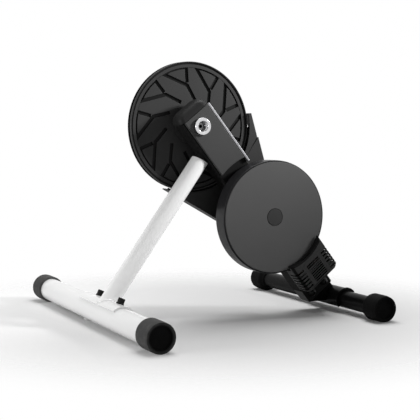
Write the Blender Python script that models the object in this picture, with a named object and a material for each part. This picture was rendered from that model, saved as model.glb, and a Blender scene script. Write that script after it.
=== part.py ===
# Smart bike trainer with a belt driven flywheel and an electromagnetic brake.
# Metres, +Z up, floor at z 0, +X to the rear, +Y to the drive side of the bike.
import bpy
import bmesh
import math
from mathutils import Matrix, Vector

# Driving sizes
AXLE_HEIGHT = 0.345        # wheel axle above the floor, as on a 700C wheel
DROPOUT_WIDTH = 0.135      # between the two dropout faces
AXLE_BACK = 0.173          # axle behind the front leg
LEG_SPACING = 0.458        # front leg to rear leg
FRONT_LENGTH = 0.586       # front leg over its caps
REAR_LENGTH = 0.455        # rear leg over its caps
FRONT_TUBE = 0.0424        # diameter of the front leg tube
REAR_TUBE = 0.0320         # diameter of the rear leg tube
CAP_DIAMETER = 0.0500      # end caps of the front leg
REAR_CAP = 0.0480          # end caps of the rear leg
CAP_LENGTH = 0.0460
TUBE_WALL = 0.0020         # both leg tubes
SADDLE_LENGTH = 0.1740     # white half sleeve on the front leg
SADDLE_WALL = 0.0030
SADDLE_BOLTS = 0.0980      # between the two bolts of the front leg
STRUT_FOOT = 0.0316        # strut diameter at the front leg
STRUT_HEAD = 0.0308        # strut diameter at the arm
STRUT_WALL = 0.0022
STRUT_PLACE = 0.0510       # strut head, down the arm from the axle
REAR_SADDLE_LENGTH = 0.1020
REAR_SADDLE_WALL = 0.0045
SADDLE_TURN = 218          # how far the rear saddle wraps round the tube, in degrees
PULLEY_DIAMETER = 0.2300
SMALL_PULLEY = 0.0370      # seat of the belt on the flywheel shaft
DRIVE_CENTRES = 0.2060     # large pulley axis to flywheel axis
BELT_WIDTH = 0.0090
FLYWHEEL_DIAMETER = 0.2030
FLYWHEEL_WIDTH = 0.0335
ARM_WIDTH = 0.0610         # across the arm, in the plane of the wheel
ARM_DEPTH = 0.0340         # arm from its left face to its right face
ARM_WALL = 0.0030
ARM_FOOT_AHEAD = 0.0457    # where the arm's line ends, ahead of the rear leg's centre
ARM_FOOT_ABOVE = 0.0198    # and above it
FOOT_BOLTS = 0.0315        # between the two bolts at the arm's foot
BRACKET_INSERT = 0.0600    # how far the rear bracket reaches into the arm
GUARD_WALL = 0.0020
GUARD_MARGIN = 0.0078      # belt guard beyond the large pulley
BRAKE_WIDTH = 0.0810       # brake housing across the arm
BRAKE_LENGTH = 0.0500      # brake housing beyond the flywheel rim
HOUSING_WALL = 0.0025
SLOT_WIDTH = 0.0026        # middle cooling slots
SIDE_SLOT = 0.0032         # cooling slots over the long corners
GROOVE_WIDTH = 0.0036      # grooves of the pulley face
GROOVE_DEPTH = 0.0030
GROOVES = 10               # groove groups in the pulley face
SLOTS = 9                  # cooling slots in the middle of the brake housing

GAP = 0.0003               # clearance between neighbouring solids
MID = -0.0140              # bike centre plane
SHIFT = 0.0045             # arm centre line above the axle line
HEAD_RADIUS = 0.0074       # dome heads of the foot bolts
HEAD_HEIGHT = 0.0090
COVER_HOLE = 0.0650        # opening of the drive side cover round the freehub
RECESS_DEPTH = 0.0115      # recess in the left dropout adapter
SLOT_REACH = 0.0300        # length of the middle cooling slots

# Places along X
front_x = -(LEG_SPACING + CAP_DIAMETER / 2 + REAR_CAP / 2) / 2 + CAP_DIAMETER / 2
rear_x = front_x + LEG_SPACING
axle_x = front_x + AXLE_BACK
front_z = CAP_DIAMETER / 2
rear_z = REAR_CAP / 2

# Places along Y, from the left dropout face inwards
left_face = MID - DROPOUT_WIDTH / 2
right_face = MID + DROPOUT_WIDTH / 2
cover_y = left_face + 0.0055
beam_l = cover_y + 0.0060
beam_r = beam_l + ARM_DEPTH
guard_y = beam_r + 0.0025
pulley_l = guard_y + 0.0041
pulley_r = pulley_l + BELT_WIDTH + 0.0050
hub_r = pulley_r + 0.0155
fly_r = beam_l - 0.0055
fly_l = fly_r - FLYWHEEL_WIDTH
brake_l = fly_l - 0.0120
beam_mid = (beam_l + beam_r) / 2

# Direction of the arm, from the axle down to the rear leg
arm = math.atan2(AXLE_HEIGHT - rear_z - ARM_FOOT_ABOVE, rear_x - axle_x - ARM_FOOT_AHEAD)
cu, su = math.cos(arm), math.sin(arm)
pulley_rad = PULLEY_DIAMETER / 2
fly_rad = FLYWHEEL_DIAMETER / 2
leg_u = (rear_x - axle_x) * cu + (AXLE_HEIGHT - rear_z) * su
leg_v = (rear_x - axle_x) * su - (AXLE_HEIGHT - rear_z) * cu
beam_end = leg_u - 0.0300
bolt_u = beam_end - 0.0140
v_low, v_high = SHIFT - ARM_WIDTH / 2, SHIFT + ARM_WIDTH / 2


def at(u, v):
    """Arm coordinates, u down the arm and v across it, as x and z."""
    return axle_x + u * cu + v * su, AXLE_HEIGHT - u * su + v * cu


def material(name, colour, rough, metal):
    m = bpy.data.materials.new(name)
    m.use_nodes = True
    b = m.node_tree.nodes["Principled BSDF"]
    b.inputs["Base Color"].default_value = (*colour, 1)
    b.inputs["Roughness"].default_value = rough
    b.inputs["Metallic"].default_value = metal
    m.diffuse_color = (*colour, 1)
    return m


def solid(name, bm, look=None):
    bmesh.ops.remove_doubles(bm, verts=bm.verts, dist=1e-7)
    bmesh.ops.recalc_face_normals(bm, faces=bm.faces)
    me = bpy.data.meshes.new(name)
    bm.to_mesh(me)
    bm.free()
    ob = bpy.data.objects.new(name, me)
    bpy.context.scene.collection.objects.link(ob)
    if look:
        me.materials.append(material(name, *look))
    smooth_faces(ob)
    return ob


def smooth_faces(ob, angle=32):
    me = ob.data
    me.polygons.foreach_set("use_smooth", [True] * len(me.polygons))
    bm = bmesh.new()
    bm.from_mesh(me)
    for e in bm.edges:
        e.smooth = len(e.link_faces) == 2 and e.calc_face_angle(0) < math.radians(angle)
    bm.to_mesh(me)
    bm.free()


def prism(name, outline, y0, y1, look=None):
    """A flat outline of x and z points pulled along Y."""
    bm = bmesh.new()
    a = [bm.verts.new((x, y0, z)) for x, z in outline]
    b = [bm.verts.new((x, y1, z)) for x, z in outline]
    bm.faces.new(a)
    bm.faces.new(b[::-1])
    n = len(a)
    for i in range(n):
        bm.faces.new((a[i], b[i], b[(i + 1) % n], a[(i + 1) % n]))
    return solid(name, bm, look)


def loft_u(name, sections, look=None):
    """Sections of v and y points, each at its own u, joined along the arm."""
    bm = bmesh.new()
    rows = []
    for u, pts in sections:
        row = []
        for v, y in pts:
            x, z = at(u, v)
            row.append(bm.verts.new((x, y, z)))
        rows.append(row)
    n = len(rows[0])
    bm.faces.new(rows[0])
    bm.faces.new(rows[-1][::-1])
    for r, s in zip(rows, rows[1:]):
        for i in range(n):
            bm.faces.new((r[i], s[i], s[(i + 1) % n], r[(i + 1) % n]))
    return solid(name, bm, look)


def block(name, u0, u1, v0, v1, y0, y1, look=None):
    pts = [(v0, y0), (v1, y0), (v1, y1), (v0, y1)]
    return loft_u(name, [(u0, pts), (u1, pts)], look)


def lathe(name, x, z, profile, seg, look=None):
    """A closed profile of radius and y points turned about a line along Y."""
    bm = bmesh.new()
    rings = []
    for r, y in profile:
        if r < 1e-9:
            rings.append([bm.verts.new((x, y, z))] * seg)
        else:
            rings.append([bm.verts.new((x + r * math.cos(2 * math.pi * i / seg), y,
                                        z + r * math.sin(2 * math.pi * i / seg))) for i in range(seg)])
    n = len(profile)
    for k in range(n):
        a, b = rings[k], rings[(k + 1) % n]
        if a[0] is a[1] and b[0] is b[1]:
            continue
        for i in range(seg):
            j = (i + 1) % seg
            quad = []
            for v in (a[i], a[j], b[j], b[i]):
                if v not in quad:
                    quad.append(v)
            bm.faces.new(quad)
    return solid(name, bm, look)


def cyl(name, x, z, r, y0, y1, seg=32, look=None):
    return lathe(name, x, z, [(0, y0), (r, y0), (r, y1), (0, y1)], seg, look)


def rod(name, p, q, r0, r1, seg=32, look=None):
    """A plain cylinder or cone between two points."""
    p, q = Vector(p), Vector(q)
    d = (q - p).normalized()
    side = d.cross(Vector((0, 1, 0)))
    if side.length < 1e-6:
        side = d.cross(Vector((1, 0, 0)))
    side.normalize()
    up = d.cross(side)
    bm = bmesh.new()
    rows = []
    for c, r in ((p, r0), (q, r1)):
        rows.append([bm.verts.new(c + side * r * math.cos(2 * math.pi * i / seg)
                                  + up * r * math.sin(2 * math.pi * i / seg)) for i in range(seg)])
    bm.faces.new(rows[0])
    bm.faces.new(rows[1][::-1])
    for i in range(seg):
        j = (i + 1) % seg
        bm.faces.new((rows[0][i], rows[1][i], rows[1][j], rows[0][j]))
    return solid(name, bm, look)


def combine(ob, others, how="DIFFERENCE"):
    """Boolean with each helper in turn; the helpers are then removed."""
    for other in others:
        m = ob.modifiers.new("cut", "BOOLEAN")
        m.operation = how
        m.solver = "EXACT"
        m.object = other
        bpy.context.view_layer.update()
        ev = ob.evaluated_get(bpy.context.evaluated_depsgraph_get())
        me = bpy.data.meshes.new_from_object(ev)
        ob.modifiers.clear()
        old = ob.data
        name = old.name
        ob.data = me
        bpy.data.meshes.remove(old)
        me.name = name
        bpy.data.objects.remove(other)
    bm = bmesh.new()
    bm.from_mesh(ob.data)
    bmesh.ops.remove_doubles(bm, verts=bm.verts, dist=2e-6)
    bmesh.ops.dissolve_degenerate(bm, edges=bm.edges, dist=1e-6)
    bm.to_mesh(ob.data)
    bm.free()
    smooth_faces(ob)
    return ob


def bevel(ob, width, segments=2, angle=40):
    m = ob.modifiers.new("edge", "BEVEL")
    m.width = width
    m.segments = segments
    m.limit_method = "ANGLE"
    m.angle_limit = math.radians(angle)
    m.use_clamp_overlap = True
    bpy.context.view_layer.update()
    ev = ob.evaluated_get(bpy.context.evaluated_depsgraph_get())
    me = bpy.data.meshes.new_from_object(ev)
    ob.modifiers.clear()
    old = ob.data
    ob.data = me
    bpy.data.meshes.remove(old)
    me.name = ob.name
    smooth_faces(ob)
    return ob


def arc(u, v, r, a0, a1, n):
    """Points of u and v on an arc, angles in degrees from the arm direction."""
    return [(u + r * math.cos(math.radians(a0 + (a1 - a0) * i / n)),
             v + r * math.sin(math.radians(a0 + (a1 - a0) * i / n))) for i in range(n + 1)]


def xz(points):
    return [at(u, v) for u, v in points]


def main():
    for ob in list(bpy.data.objects):
        bpy.data.objects.remove(ob)

    white = ((0.80, 0.80, 0.80), 0.32, 0.0)
    black = ((0.018, 0.018, 0.019), 0.42, 0.0)
    satin = ((0.030, 0.030, 0.032), 0.48, 0.0)
    rubber = ((0.022, 0.022, 0.023), 0.75, 0.0)
    steel = ((0.55, 0.56, 0.57), 0.30, 1.0)
    bright = ((0.78, 0.78, 0.79), 0.12, 1.0)
    dark_metal = ((0.035, 0.035, 0.037), 0.28, 0.6)
    copper = ((0.55, 0.20, 0.08), 0.40, 1.0)
    green = ((0.02, 0.12, 0.05), 0.50, 0.0)
    grey = ((0.45, 0.45, 0.45), 0.60, 0.0)

    legs(white, black, rubber, grey)
    arm_parts(white, black, satin, bright, steel)
    drive(black, satin, rubber, steel, dark_metal)
    guard(black, satin)
    brake(black, steel, copper, green)
    fx, fz = at(DRIVE_CENTRES, 0)
    set_axis(("large_pulley", "pulley_face", "hub_bearing_left", "hub_bearing_right"),
             axle_x, pulley_l, AXLE_HEIGHT)
    set_axis(("freehub_body", "freehub_bearing"), axle_x, hub_r, AXLE_HEIGHT)
    set_axis(("flywheel", "flywheel_face", "flywheel_centre_cap", "flywheel_shaft", "small_pulley"),
             fx, beam_mid, fz)


def set_axis(names, x, y, z):
    """Puts the origin of moving pieces on the line they turn about."""
    for name in names:
        ob = bpy.data.objects[name]
        ob.data.transform(Matrix.Translation((-x, -y, -z)))
        ob.location = x, y, z


def leg_cap(name, x, z, end, sign, tube_r, cap_r, neck, taper, look):
    """A rubber cup over a tube end; sign points from the cap to the leg centre."""
    inner = tube_r + GAP
    wall = cap_r - inner
    lip = min(0.0014, wall * 0.45)

    def y(d):
        return end + sign * d
    rim = cap_r - taper
    neck_r = inner + lip + (wall - lip) * 0.45
    profile = [(0, y(0.0045)), (rim * 0.72, y(0.0045)), (rim * 0.75, y(0.0016)), (rim * 0.86, y(0.0013)),
               (rim * 0.89, y(0.0)), (rim - 0.0010, y(0.0)), (rim, y(0.0011)), (cap_r, y(0.0070)),
               (cap_r, y(CAP_LENGTH - neck)), (neck_r, y(CAP_LENGTH - neck * 0.42)),
               (inner + lip, y(CAP_LENGTH)), (inner, y(CAP_LENGTH)), (inner, y(0.0090)), (0, y(0.0090))]
    return lathe(name, x, z, profile, 20, look)


def sleeve(name, x, z, inner, thick, y0, y1, a0, a1, look, n=18):
    """Part of a tube wall, angles in degrees from +X towards +Z."""
    pts = []
    for i in range(n + 1):
        a = math.radians(a0 + (a1 - a0) * i / n)
        pts.append((x + (inner + thick) * math.cos(a), z + (inner + thick) * math.sin(a)))
    for i in range(n, -1, -1):
        a = math.radians(a0 + (a1 - a0) * i / n)
        pts.append((x + inner * math.cos(a), z + inner * math.sin(a)))
    return prism(name, pts, y0, y1, look)


def legs(white, black, rubber, grey):
    for tag, x, z, length, tube, cap, neck, taper, look in (
            ("front", front_x, front_z, FRONT_LENGTH, FRONT_TUBE, CAP_DIAMETER, 0.0020, 0.0003, white),
            ("rear", rear_x, rear_z, REAR_LENGTH, REAR_TUBE, REAR_CAP, 0.0110, 0.0010, black)):
        half = length / 2
        r = tube / 2
        inside = half - 0.0090 - GAP
        lathe(tag + "_leg_tube", x, z, [(r - TUBE_WALL, -inside), (r, -inside), (r, inside),
                                        (r - TUBE_WALL, inside)], 32, look)
        leg_cap(tag + "_cap_left", x, z, -half, 1, r, cap / 2, neck, taper, rubber)
        leg_cap(tag + "_cap_right", x, z, half, -1, r, cap / 2, neck, taper, rubber)

    # Small rubber pad under the front tube
    pad_y = 0.033
    pad = rod("front_foot_pad", (front_x, pad_y, 0), (front_x, pad_y, 0.0100), 0.0085, 0.0085, 24, grey)
    combine(pad, [cyl("c", front_x, front_z, FRONT_TUBE / 2 + GAP, pad_y - 0.03, pad_y + 0.03, 40)])

    # Saddle on the front leg, leaning back like the strut, with two bolts through it
    r = FRONT_TUBE / 2 + GAP
    lean = math.radians(66)
    cl, sl = math.cos(lean), math.sin(lean)
    mid = beam_mid + 0.0060
    saddle = sleeve("front_saddle", front_x, front_z, r, SADDLE_WALL, mid - SADDLE_LENGTH / 2,
                    mid + SADDLE_LENGTH / 2, -28, 132, white, 16)

    def out(dist, y):
        return front_x + dist * cl, y, front_z + dist * sl
    top = r + SADDLE_WALL + GAP
    for i, y in enumerate((mid - SADDLE_BOLTS / 2, mid + SADDLE_BOLTS / 2)):
        head = rod("front_saddle_bolt_%d" % (i + 1), out(top - 0.0008, y), out(top + 0.0100, y),
                   0.0070, 0.0058, 16, black)
        combine(head, [rod("s", out(top - 0.0130, y), out(top + 0.0010, y), 0.0038, 0.0038, 16)], "UNION")
        combine(saddle, [rod("h", out(r - 0.010, y), out(top + 0.01, y), 0.0042, 0.0042, 16),
                         rod("h", out(top - 0.0011, y), out(top + 0.02, y), 0.0078, 0.0078, 20)])
        combine(bpy.data.objects["front_leg_tube"],
                [rod("h", out(0.004, y), out(top + 0.01, y), 0.0042, 0.0042, 16)])

    # Strut from the saddle up to the arm, and the plug that joins it to the arm's underside
    hx, hz = at(STRUT_PLACE, v_low - 0.0058)
    head = Vector((hx, beam_mid, hz))
    foot = Vector((front_x - 0.0085, beam_mid, front_z))
    d = (head - foot).normalized()
    grow = (STRUT_HEAD - STRUT_FOOT) / 2 / (head - foot).length
    tip = head + d * 0.02
    tip_r = STRUT_HEAD / 2 + grow * 0.02
    strut = rod("strut", foot, tip, STRUT_FOOT / 2, tip_r, 32, white)
    bore = rod("b", foot - d * 0.01, tip + d * 0.01, STRUT_FOOT / 2 - STRUT_WALL, tip_r - STRUT_WALL, 28)
    base = cyl("c", front_x, front_z, r + SADDLE_WALL + GAP, beam_mid - 0.05, beam_mid + 0.05, 64)
    lid = rod("t", head, head + Vector((math.cos(math.radians(61)), 0, math.sin(math.radians(61)))) * 0.05,
              0.06, 0.06, 4)
    under = block("u", -0.1, 0.25, v_low - GAP, v_low + 0.08, beam_mid - 0.05, beam_mid + 0.05)
    combine(strut, [bore, base, lid, under])
    plug = rod("strut_plug", head - d * 0.0300, head + d * 0.03, STRUT_HEAD / 2 - STRUT_WALL - GAP - 0.0002,
               STRUT_HEAD / 2 - STRUT_WALL - GAP, 28, black)
    combine(plug, [block("t", -0.1, 0.25, v_low - GAP, v_low + 0.08, beam_mid - 0.05, beam_mid + 0.05)])

    # Saddle and bracket on the rear leg
    r = REAR_TUBE / 2 + GAP
    s0, s1 = beam_mid - REAR_SADDLE_LENGTH / 2 - 0.0010, beam_mid + REAR_SADDLE_LENGTH / 2 - 0.0010
    rear = sleeve("rear_saddle", rear_x, rear_z, r, REAR_SADDLE_WALL, s0, s1, 36, SADDLE_TURN, black, 16)
    combine(rear, [sleeve("l", rear_x, rear_z, r + REAR_SADDLE_WALL * 0.5, REAR_SADDLE_WALL * 0.5 + 0.0014,
                          s0, s0 + 0.0034, 36, SADDLE_TURN, None, 16)], "UNION")
    wall = ARM_WALL + GAP
    tongue = block("rear_bracket", beam_end - BRACKET_INSERT, leg_u + 0.004, v_low + wall, v_high - wall,
                   beam_l + wall, beam_r - wall, black)
    coped = cyl("c", rear_x, rear_z, r + REAR_SADDLE_WALL + GAP, beam_l - 0.01, beam_r + 0.01, 64)
    low, far = rear_z - 0.0055, rear_x + LEG_SPACING
    floor = prism("f", [(axle_x, low - AXLE_HEIGHT), (far, low - AXLE_HEIGHT), (far, low), (axle_x, low)],
                  beam_l - 0.01, beam_r + 0.01)
    behind = block("k", leg_u - 0.010, leg_u + LEG_SPACING, leg_v + 0.002, leg_v + LEG_SPACING,
                   beam_l - 0.01, beam_r + 0.01)
    combine(tongue, [coped, floor, behind])
    y = beam_l - GAP
    h, q = HEAD_HEIGHT, HEAD_RADIUS
    for i, dv in enumerate((-FOOT_BOLTS / 2, FOOT_BOLTS / 2)):
        x, z = at(bolt_u, SHIFT + dv)
        combine(tongue, [cyl("h", x, z, 0.0048, beam_l - 0.01, beam_r + 0.01, 16)])
        tip = beam_r - ARM_WALL - 0.0005
        lathe("arm_bolt_%d" % (i + 1), x, z,
              [(0, y - h), (q * 0.42, y - h * 0.95), (q * 0.76, y - h * 0.72), (q * 0.95, y - h * 0.38),
               (q, y), (0.0045, y), (0.0045, tip), (0, tip)], 20, black)


def arm_parts(white, black, fine, bright, steel):
    beam = block("arm_beam", -0.0240, beam_end, v_low, v_high, beam_l, beam_r, black)
    bevel(beam, 0.0020, 1)
    hollow = block("h", -ARM_WIDTH, beam_end + BRACKET_INSERT, v_low + ARM_WALL, v_high - ARM_WALL,
                   beam_l + ARM_WALL, beam_r - ARM_WALL)
    cuts = [hollow, cyl("a", axle_x, AXLE_HEIGHT, 0.0188, beam_l - 0.01, beam_r + 0.01, 24)]
    fx, fz = at(DRIVE_CENTRES, 0)
    cuts.append(cyl("f", fx, fz, 0.0224, beam_l - 0.01, beam_r + 0.01, 28))
    for dv in (-FOOT_BOLTS / 2, FOOT_BOLTS / 2):
        x, z = at(bolt_u, SHIFT + dv)
        cuts.append(cyl("b", x, z, 0.0048, beam_l - 0.01, beam_mid, 16))
    combine(beam, cuts)

    # Cover on the left face, with an end that follows the flywheel
    c0, c1 = v_low + 0.0035, v_high - 0.0025
    rc = fly_rad + 0.0135
    a0 = math.degrees(math.asin(c0 / rc))
    a1 = math.degrees(math.asin(c1 / rc))
    outline = [(-0.0240, c0), (-0.0240, c1)]
    outline += [(DRIVE_CENTRES - rc * math.cos(math.radians(a1 + (a0 - a1) * i / 14)),
                 rc * math.sin(math.radians(a1 + (a0 - a1) * i / 14))) for i in range(15)]
    cover = prism("arm_cover", xz(outline), cover_y, beam_l - GAP, fine)
    bevel(cover, 0.0012, 2, 50)
    combine(cover, [cyl("h", axle_x, AXLE_HEIGHT, 0.0156, cover_y - 0.01, beam_l + 0.01, 32)])

    # Bright strip along the rear edge of the cover
    e = c1 + GAP
    pts = [(e, cover_y - 0.0006), (e + 0.0044, cover_y - 0.0006), (e + 0.0044, beam_l - GAP),
           (e, beam_l - GAP)]
    strip = loft_u("arm_trim_strip", [(-0.0238, pts), (DRIVE_CENTRES - rc + 0.0150, pts)], bright)
    bevel(strip, 0.0009, 2)

    # Rounded cap that closes the head of the arm
    e0, e1 = v_low - 0.0035, v_high
    y0, y1 = cover_y, beam_r + 0.0015

    def ring(inset):
        c, n = min(0.0105, 0.95 * ((y1 - y0) / 2 - inset)), 4
        pts = []
        for cx, cy, a in ((e1 - inset - c, y0 + inset + c, -90), (e1 - inset - c, y1 - inset - c, 0),
                          (e0 + inset + c, y1 - inset - c, 90), (e0 + inset + c, y0 + inset + c, 180)):
            for i in range(n + 1):
                t = math.radians(a + 90 * i / n)
                pts.append((cx + c * math.cos(t), cy + c * math.sin(t)))
        return pts
    steps = [(-0.0243, 0.0006), (-0.0252, 0.0)]
    steps += [(-0.0252 - 0.0150 * math.sin(math.radians(t)), 0.0140 * (1 - math.cos(math.radians(t))))
              for t in (20, 38, 54, 68, 80)]
    cap = loft_u("arm_end_cap", [(u, ring(i)) for u, i in steps[::-1]], fine)
    plug = block("p", -0.0300, -0.0120, v_low + ARM_WALL + GAP, v_high - ARM_WALL - GAP,
                 beam_l + ARM_WALL + GAP, beam_r - ARM_WALL - GAP)
    combine(cap, [plug], "UNION")
    combine(cap, [cyl("h", axle_x, AXLE_HEIGHT, 0.0190, beam_l - 0.02, beam_r + 0.02, 32)])

    # Boss through the head, the fixed axle and its two dropout adapters
    x, z = axle_x, AXLE_HEIGHT
    f = left_face
    seat = f + 0.0053
    deep = f + RECESS_DEPTH
    root = deep + 0.0030
    front, back = beam_l - 0.0045, beam_r + 0.0015
    lathe("axle_boss", x, z, [(0.0112, front), (0.0150, front), (0.0150, beam_l + 0.0004),
                              (0.0185, beam_l + 0.0008), (0.0185, back), (0.0076, back),
                              (0.0076, root + GAP), (0.0112, root + GAP)], 24, steel)
    lathe("axle", x, z, [(0.0052, root + GAP), (0.0073, root + GAP), (0.0073, right_face - 0.0165),
                         (0.0052, right_face - 0.0165)], 24, steel)
    lathe("dropout_adapter_left", x, z, [
        (0.0032, deep), (0.0066, deep), (0.0086, deep - 0.0030), (0.0092, f + 0.0008), (0.0098, f),
        (0.0143, f), (0.0153, f + 0.0010), (0.0153, seat), (0.0109, seat), (0.0109, root),
        (0.0049, root), (0.0049, root + 0.0100), (0.0032, root + 0.0100)], 20, bright)
    f = right_face
    lathe("dropout_adapter_right", x, z, [
        (0.0032, f - 0.0280), (0.0049, f - 0.0280), (0.0049, f - 0.0162), (0.0100, f - 0.0162),
        (0.0100, f - 0.0110), (0.0122, f - 0.0100), (0.0122, f - 0.0010), (0.0112, f), (0.0068, f),
        (0.0062, f - 0.0006), (0.0062, f - 0.0060), (0.0032, f - 0.0060)], 20, bright)


def drive(black, satin, rubber, steel, dark_metal):
    x, z = axle_x, AXLE_HEIGHT
    l, r = pulley_l, pulley_r
    R = pulley_rad
    seat = R - 0.0060
    # Large pulley, one turned casting with two flanges, a web and a hub
    lathe("large_pulley", x, z, [
        (0.0145, l + 0.0015), (0.0300, l + 0.0015), (0.0300, l + 0.0070), (R - 0.0104, l + 0.0070),
        (R - 0.0100, l), (R - 0.0006, l), (R, l + 0.0007), (R, l + 0.0020),
        (seat, l + 0.0024), (seat, r - 0.0024), (R, r - 0.0020), (R, r), (R - 0.0110, r),
        (R - 0.0130, l + 0.0100), (0.0310, l + 0.0100), (0.0290, hub_r), (0.0145, hub_r)], 44, black)

    # Face plate of the large pulley, with its pinwheel of grooves
    face_r = R - 0.0104 - GAP
    face_l = l + 0.0026
    face = lathe("pulley_face", x, z, [(0.0303, face_l), (face_r, face_l), (face_r, l + 0.0067),
                                       (0.0303, l + 0.0067)], 44, satin)
    depth = GROOVE_DEPTH
    half = GROOVE_WIDTH / 2
    bend, foot, rim = R * 0.635, R * 0.400, R * 0.925

    def polar(rad, deg):
        t = math.radians(deg)
        return x + rad * math.cos(t), z + rad * math.sin(t)

    def bar(points, w):
        """A groove cutter that follows two or three points."""
        left, right = [], []
        n = len(points)
        for i, (px, pz) in enumerate(points):
            dx = dz = 0
            if i:
                k = math.hypot(px - points[i - 1][0], pz - points[i - 1][1])
                dx, dz = (px - points[i - 1][0]) / k, (pz - points[i - 1][1]) / k
            if i < n - 1:
                k = math.hypot(points[i + 1][0] - px, points[i + 1][1] - pz)
                ex, ez = (points[i + 1][0] - px) / k, (points[i + 1][1] - pz) / k
                if i:
                    dx, dz = dx + ex, dz + ez
                    k = math.hypot(dx, dz)
                    dx, dz = dx / k, dz / k
                else:
                    dx, dz = ex, ez
            left.append((px - dz * w, pz + dx * w))
            right.append((px + dz * w, pz - dx * w))
        return prism("g", left + right[::-1], face_l - 0.002, face_l + depth)

    first = 22.15
    cuts = []
    for k in range(int(GROOVES)):
        a = first + 360 * k / int(GROOVES)
        step = 360 / int(GROOVES)
        cuts.append(bar([polar(foot, a - step * 0.50), polar(bend, a), polar(rim, a + step * 0.72)], half))
        cuts.append(bar([polar(bend + 0.0045, a), polar(rim, a)], half))
    # The land between the two outer grooves stops short of the rim
    notch = []
    for k in range(int(GROOVES)):
        a = first + 360 * k / int(GROOVES)
        turn = [a + 360 / int(GROOVES) * 0.72 * i / 3 for i in range(4)]
        notch.append(prism("n", [polar(face_r - 0.0020, t) for t in turn]
                           + [polar(face_r + 0.003, t) for t in turn[::-1]],
                           face_l - 0.002, face_l + depth + 0.0002))
    combine(face, [join_all(cuts), join_all(notch)])

    belt(rubber)

    # Hub bearings, freehub body and its bearing
    for name, y in (("hub_bearing_left", l + 0.0030), ("hub_bearing_right", hub_r - 0.0090)):
        lathe(name, x, z, [(0.0076, y), (0.0142, y), (0.0142, y + 0.0070), (0.0076, y + 0.0070)], 16, steel)
    f0, f1 = hub_r + 0.0006, right_face - 0.0172
    body = lathe("freehub_body", x, z, [(0.0125, f0), (0.0195, f0), (0.0195, f0 + 0.0030),
                                        (0.0158, f0 + 0.0030), (0.0158, f1), (0.0125, f1)], 36, dark_metal)
    ridges = []
    for k in range(9):
        t0 = 40 * k - 7
        pts = []
        for rr, ts in ((0.0174, (0, 7, 14)), (0.0150, (14, 7, 0))):
            for t in ts:
                q = math.radians(t0 + t)
                pts.append((x + rr * math.cos(q), z + rr * math.sin(q)))
        ridges.append(prism("r", pts, f0 + 0.0020, f1 - 0.0006))
    combine(body, [join_all(ridges)], "UNION")
    lathe("freehub_bearing", x, z, [(0.0076, f1 - 0.0090), (0.0122, f1 - 0.0090), (0.0122, f1 - 0.0020),
                                    (0.0076, f1 - 0.0020)], 16, steel)

    # Flywheel axis
    x, z = at(DRIVE_CENTRES, 0)
    a, b, R = fly_l, fly_r, fly_rad
    face_r = R - 0.0026
    lathe("flywheel", x, z, [
        (0.0078, a + 0.0160), (0.0260, a + 0.0110), (R - 0.0240, a + 0.0110), (R - 0.0190, a + 0.0046),
        (face_r + GAP, a + 0.0046), (face_r + GAP, a + 0.0006), (R - 0.0014, a + 0.0008), (R, a + 0.0024),
        (R, b - 0.0016), (R - 0.0016, b), (R - 0.0180, b), (R - 0.0230, b - 0.0100), (0.0260, b - 0.0100),
        (0.0230, b), (0.0078, b)], 44, dark_metal)
    lathe("flywheel_face", x, z, [(0.0156, a), (face_r - 0.0008, a), (face_r, a + 0.0008),
                                  (face_r, a + 0.0034), (face_r - 0.0180, a + 0.0043),
                                  (0.0156, a + 0.0043)], 44, satin)
    lathe("flywheel_centre_cap", x, z, [(0, a - 0.0004), (0.0147, a - 0.0004), (0.0153, a + 0.0003),
                                        (0.0153, a + 0.0060), (0, a + 0.0060)], 24, black)
    s1 = pulley_r + 0.0010
    lathe("flywheel_shaft", x, z, [(0, a + 0.0066), (0.0068, a + 0.0066), (0.0075, a + 0.0073), (0.0075, s1),
                                   (0, s1)], 16, steel)
    lathe("bearing_block", x, z, [(0.0152, beam_l + 0.0010), (0.0220, beam_l + 0.0010),
                                  (0.0220, beam_r + 0.0012), (0.0152, beam_r + 0.0012)],
          28, steel)
    for name, y in (("flywheel_bearing_left", beam_l + 0.0030), ("flywheel_bearing_right", beam_r - 0.0100)):
        lathe(name, x, z, [(0.0078, y), (0.0149, y), (0.0149, y + 0.0080), (0.0078, y + 0.0080)], 16, steel)
    q = SMALL_PULLEY / 2
    lathe("small_pulley", x, z, [
        (0.0078, l + 0.0004), (q + 0.0045, l + 0.0004), (q + 0.0045, l + 0.0018), (q, l + 0.0024),
        (q, r - 0.0024), (q + 0.0045, r - 0.0018), (q + 0.0045, r), (0.0078, r)], 24, steel)


def join_all(obs):
    """One helper mesh of several closed pieces, for a single Boolean."""
    bm = bmesh.new()
    for ob in obs:
        bm.from_mesh(ob.data)
        bpy.data.objects.remove(ob)
    me = bpy.data.meshes.new("j")
    bm.to_mesh(me)
    bm.free()
    ob = bpy.data.objects.new("j", me)
    bpy.context.scene.collection.objects.link(ob)
    return ob


def loop_outline(r1, r2, n1, n2):
    """Outline of a belt round both pulleys, in u and v."""
    b = math.degrees(math.asin((r1 - r2) / DRIVE_CENTRES))
    return arc(0, 0, r1, 90 - b, 270 + b, n1) + arc(DRIVE_CENTRES, 0, r2, -90 + b, 90 - b, n2)


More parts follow.
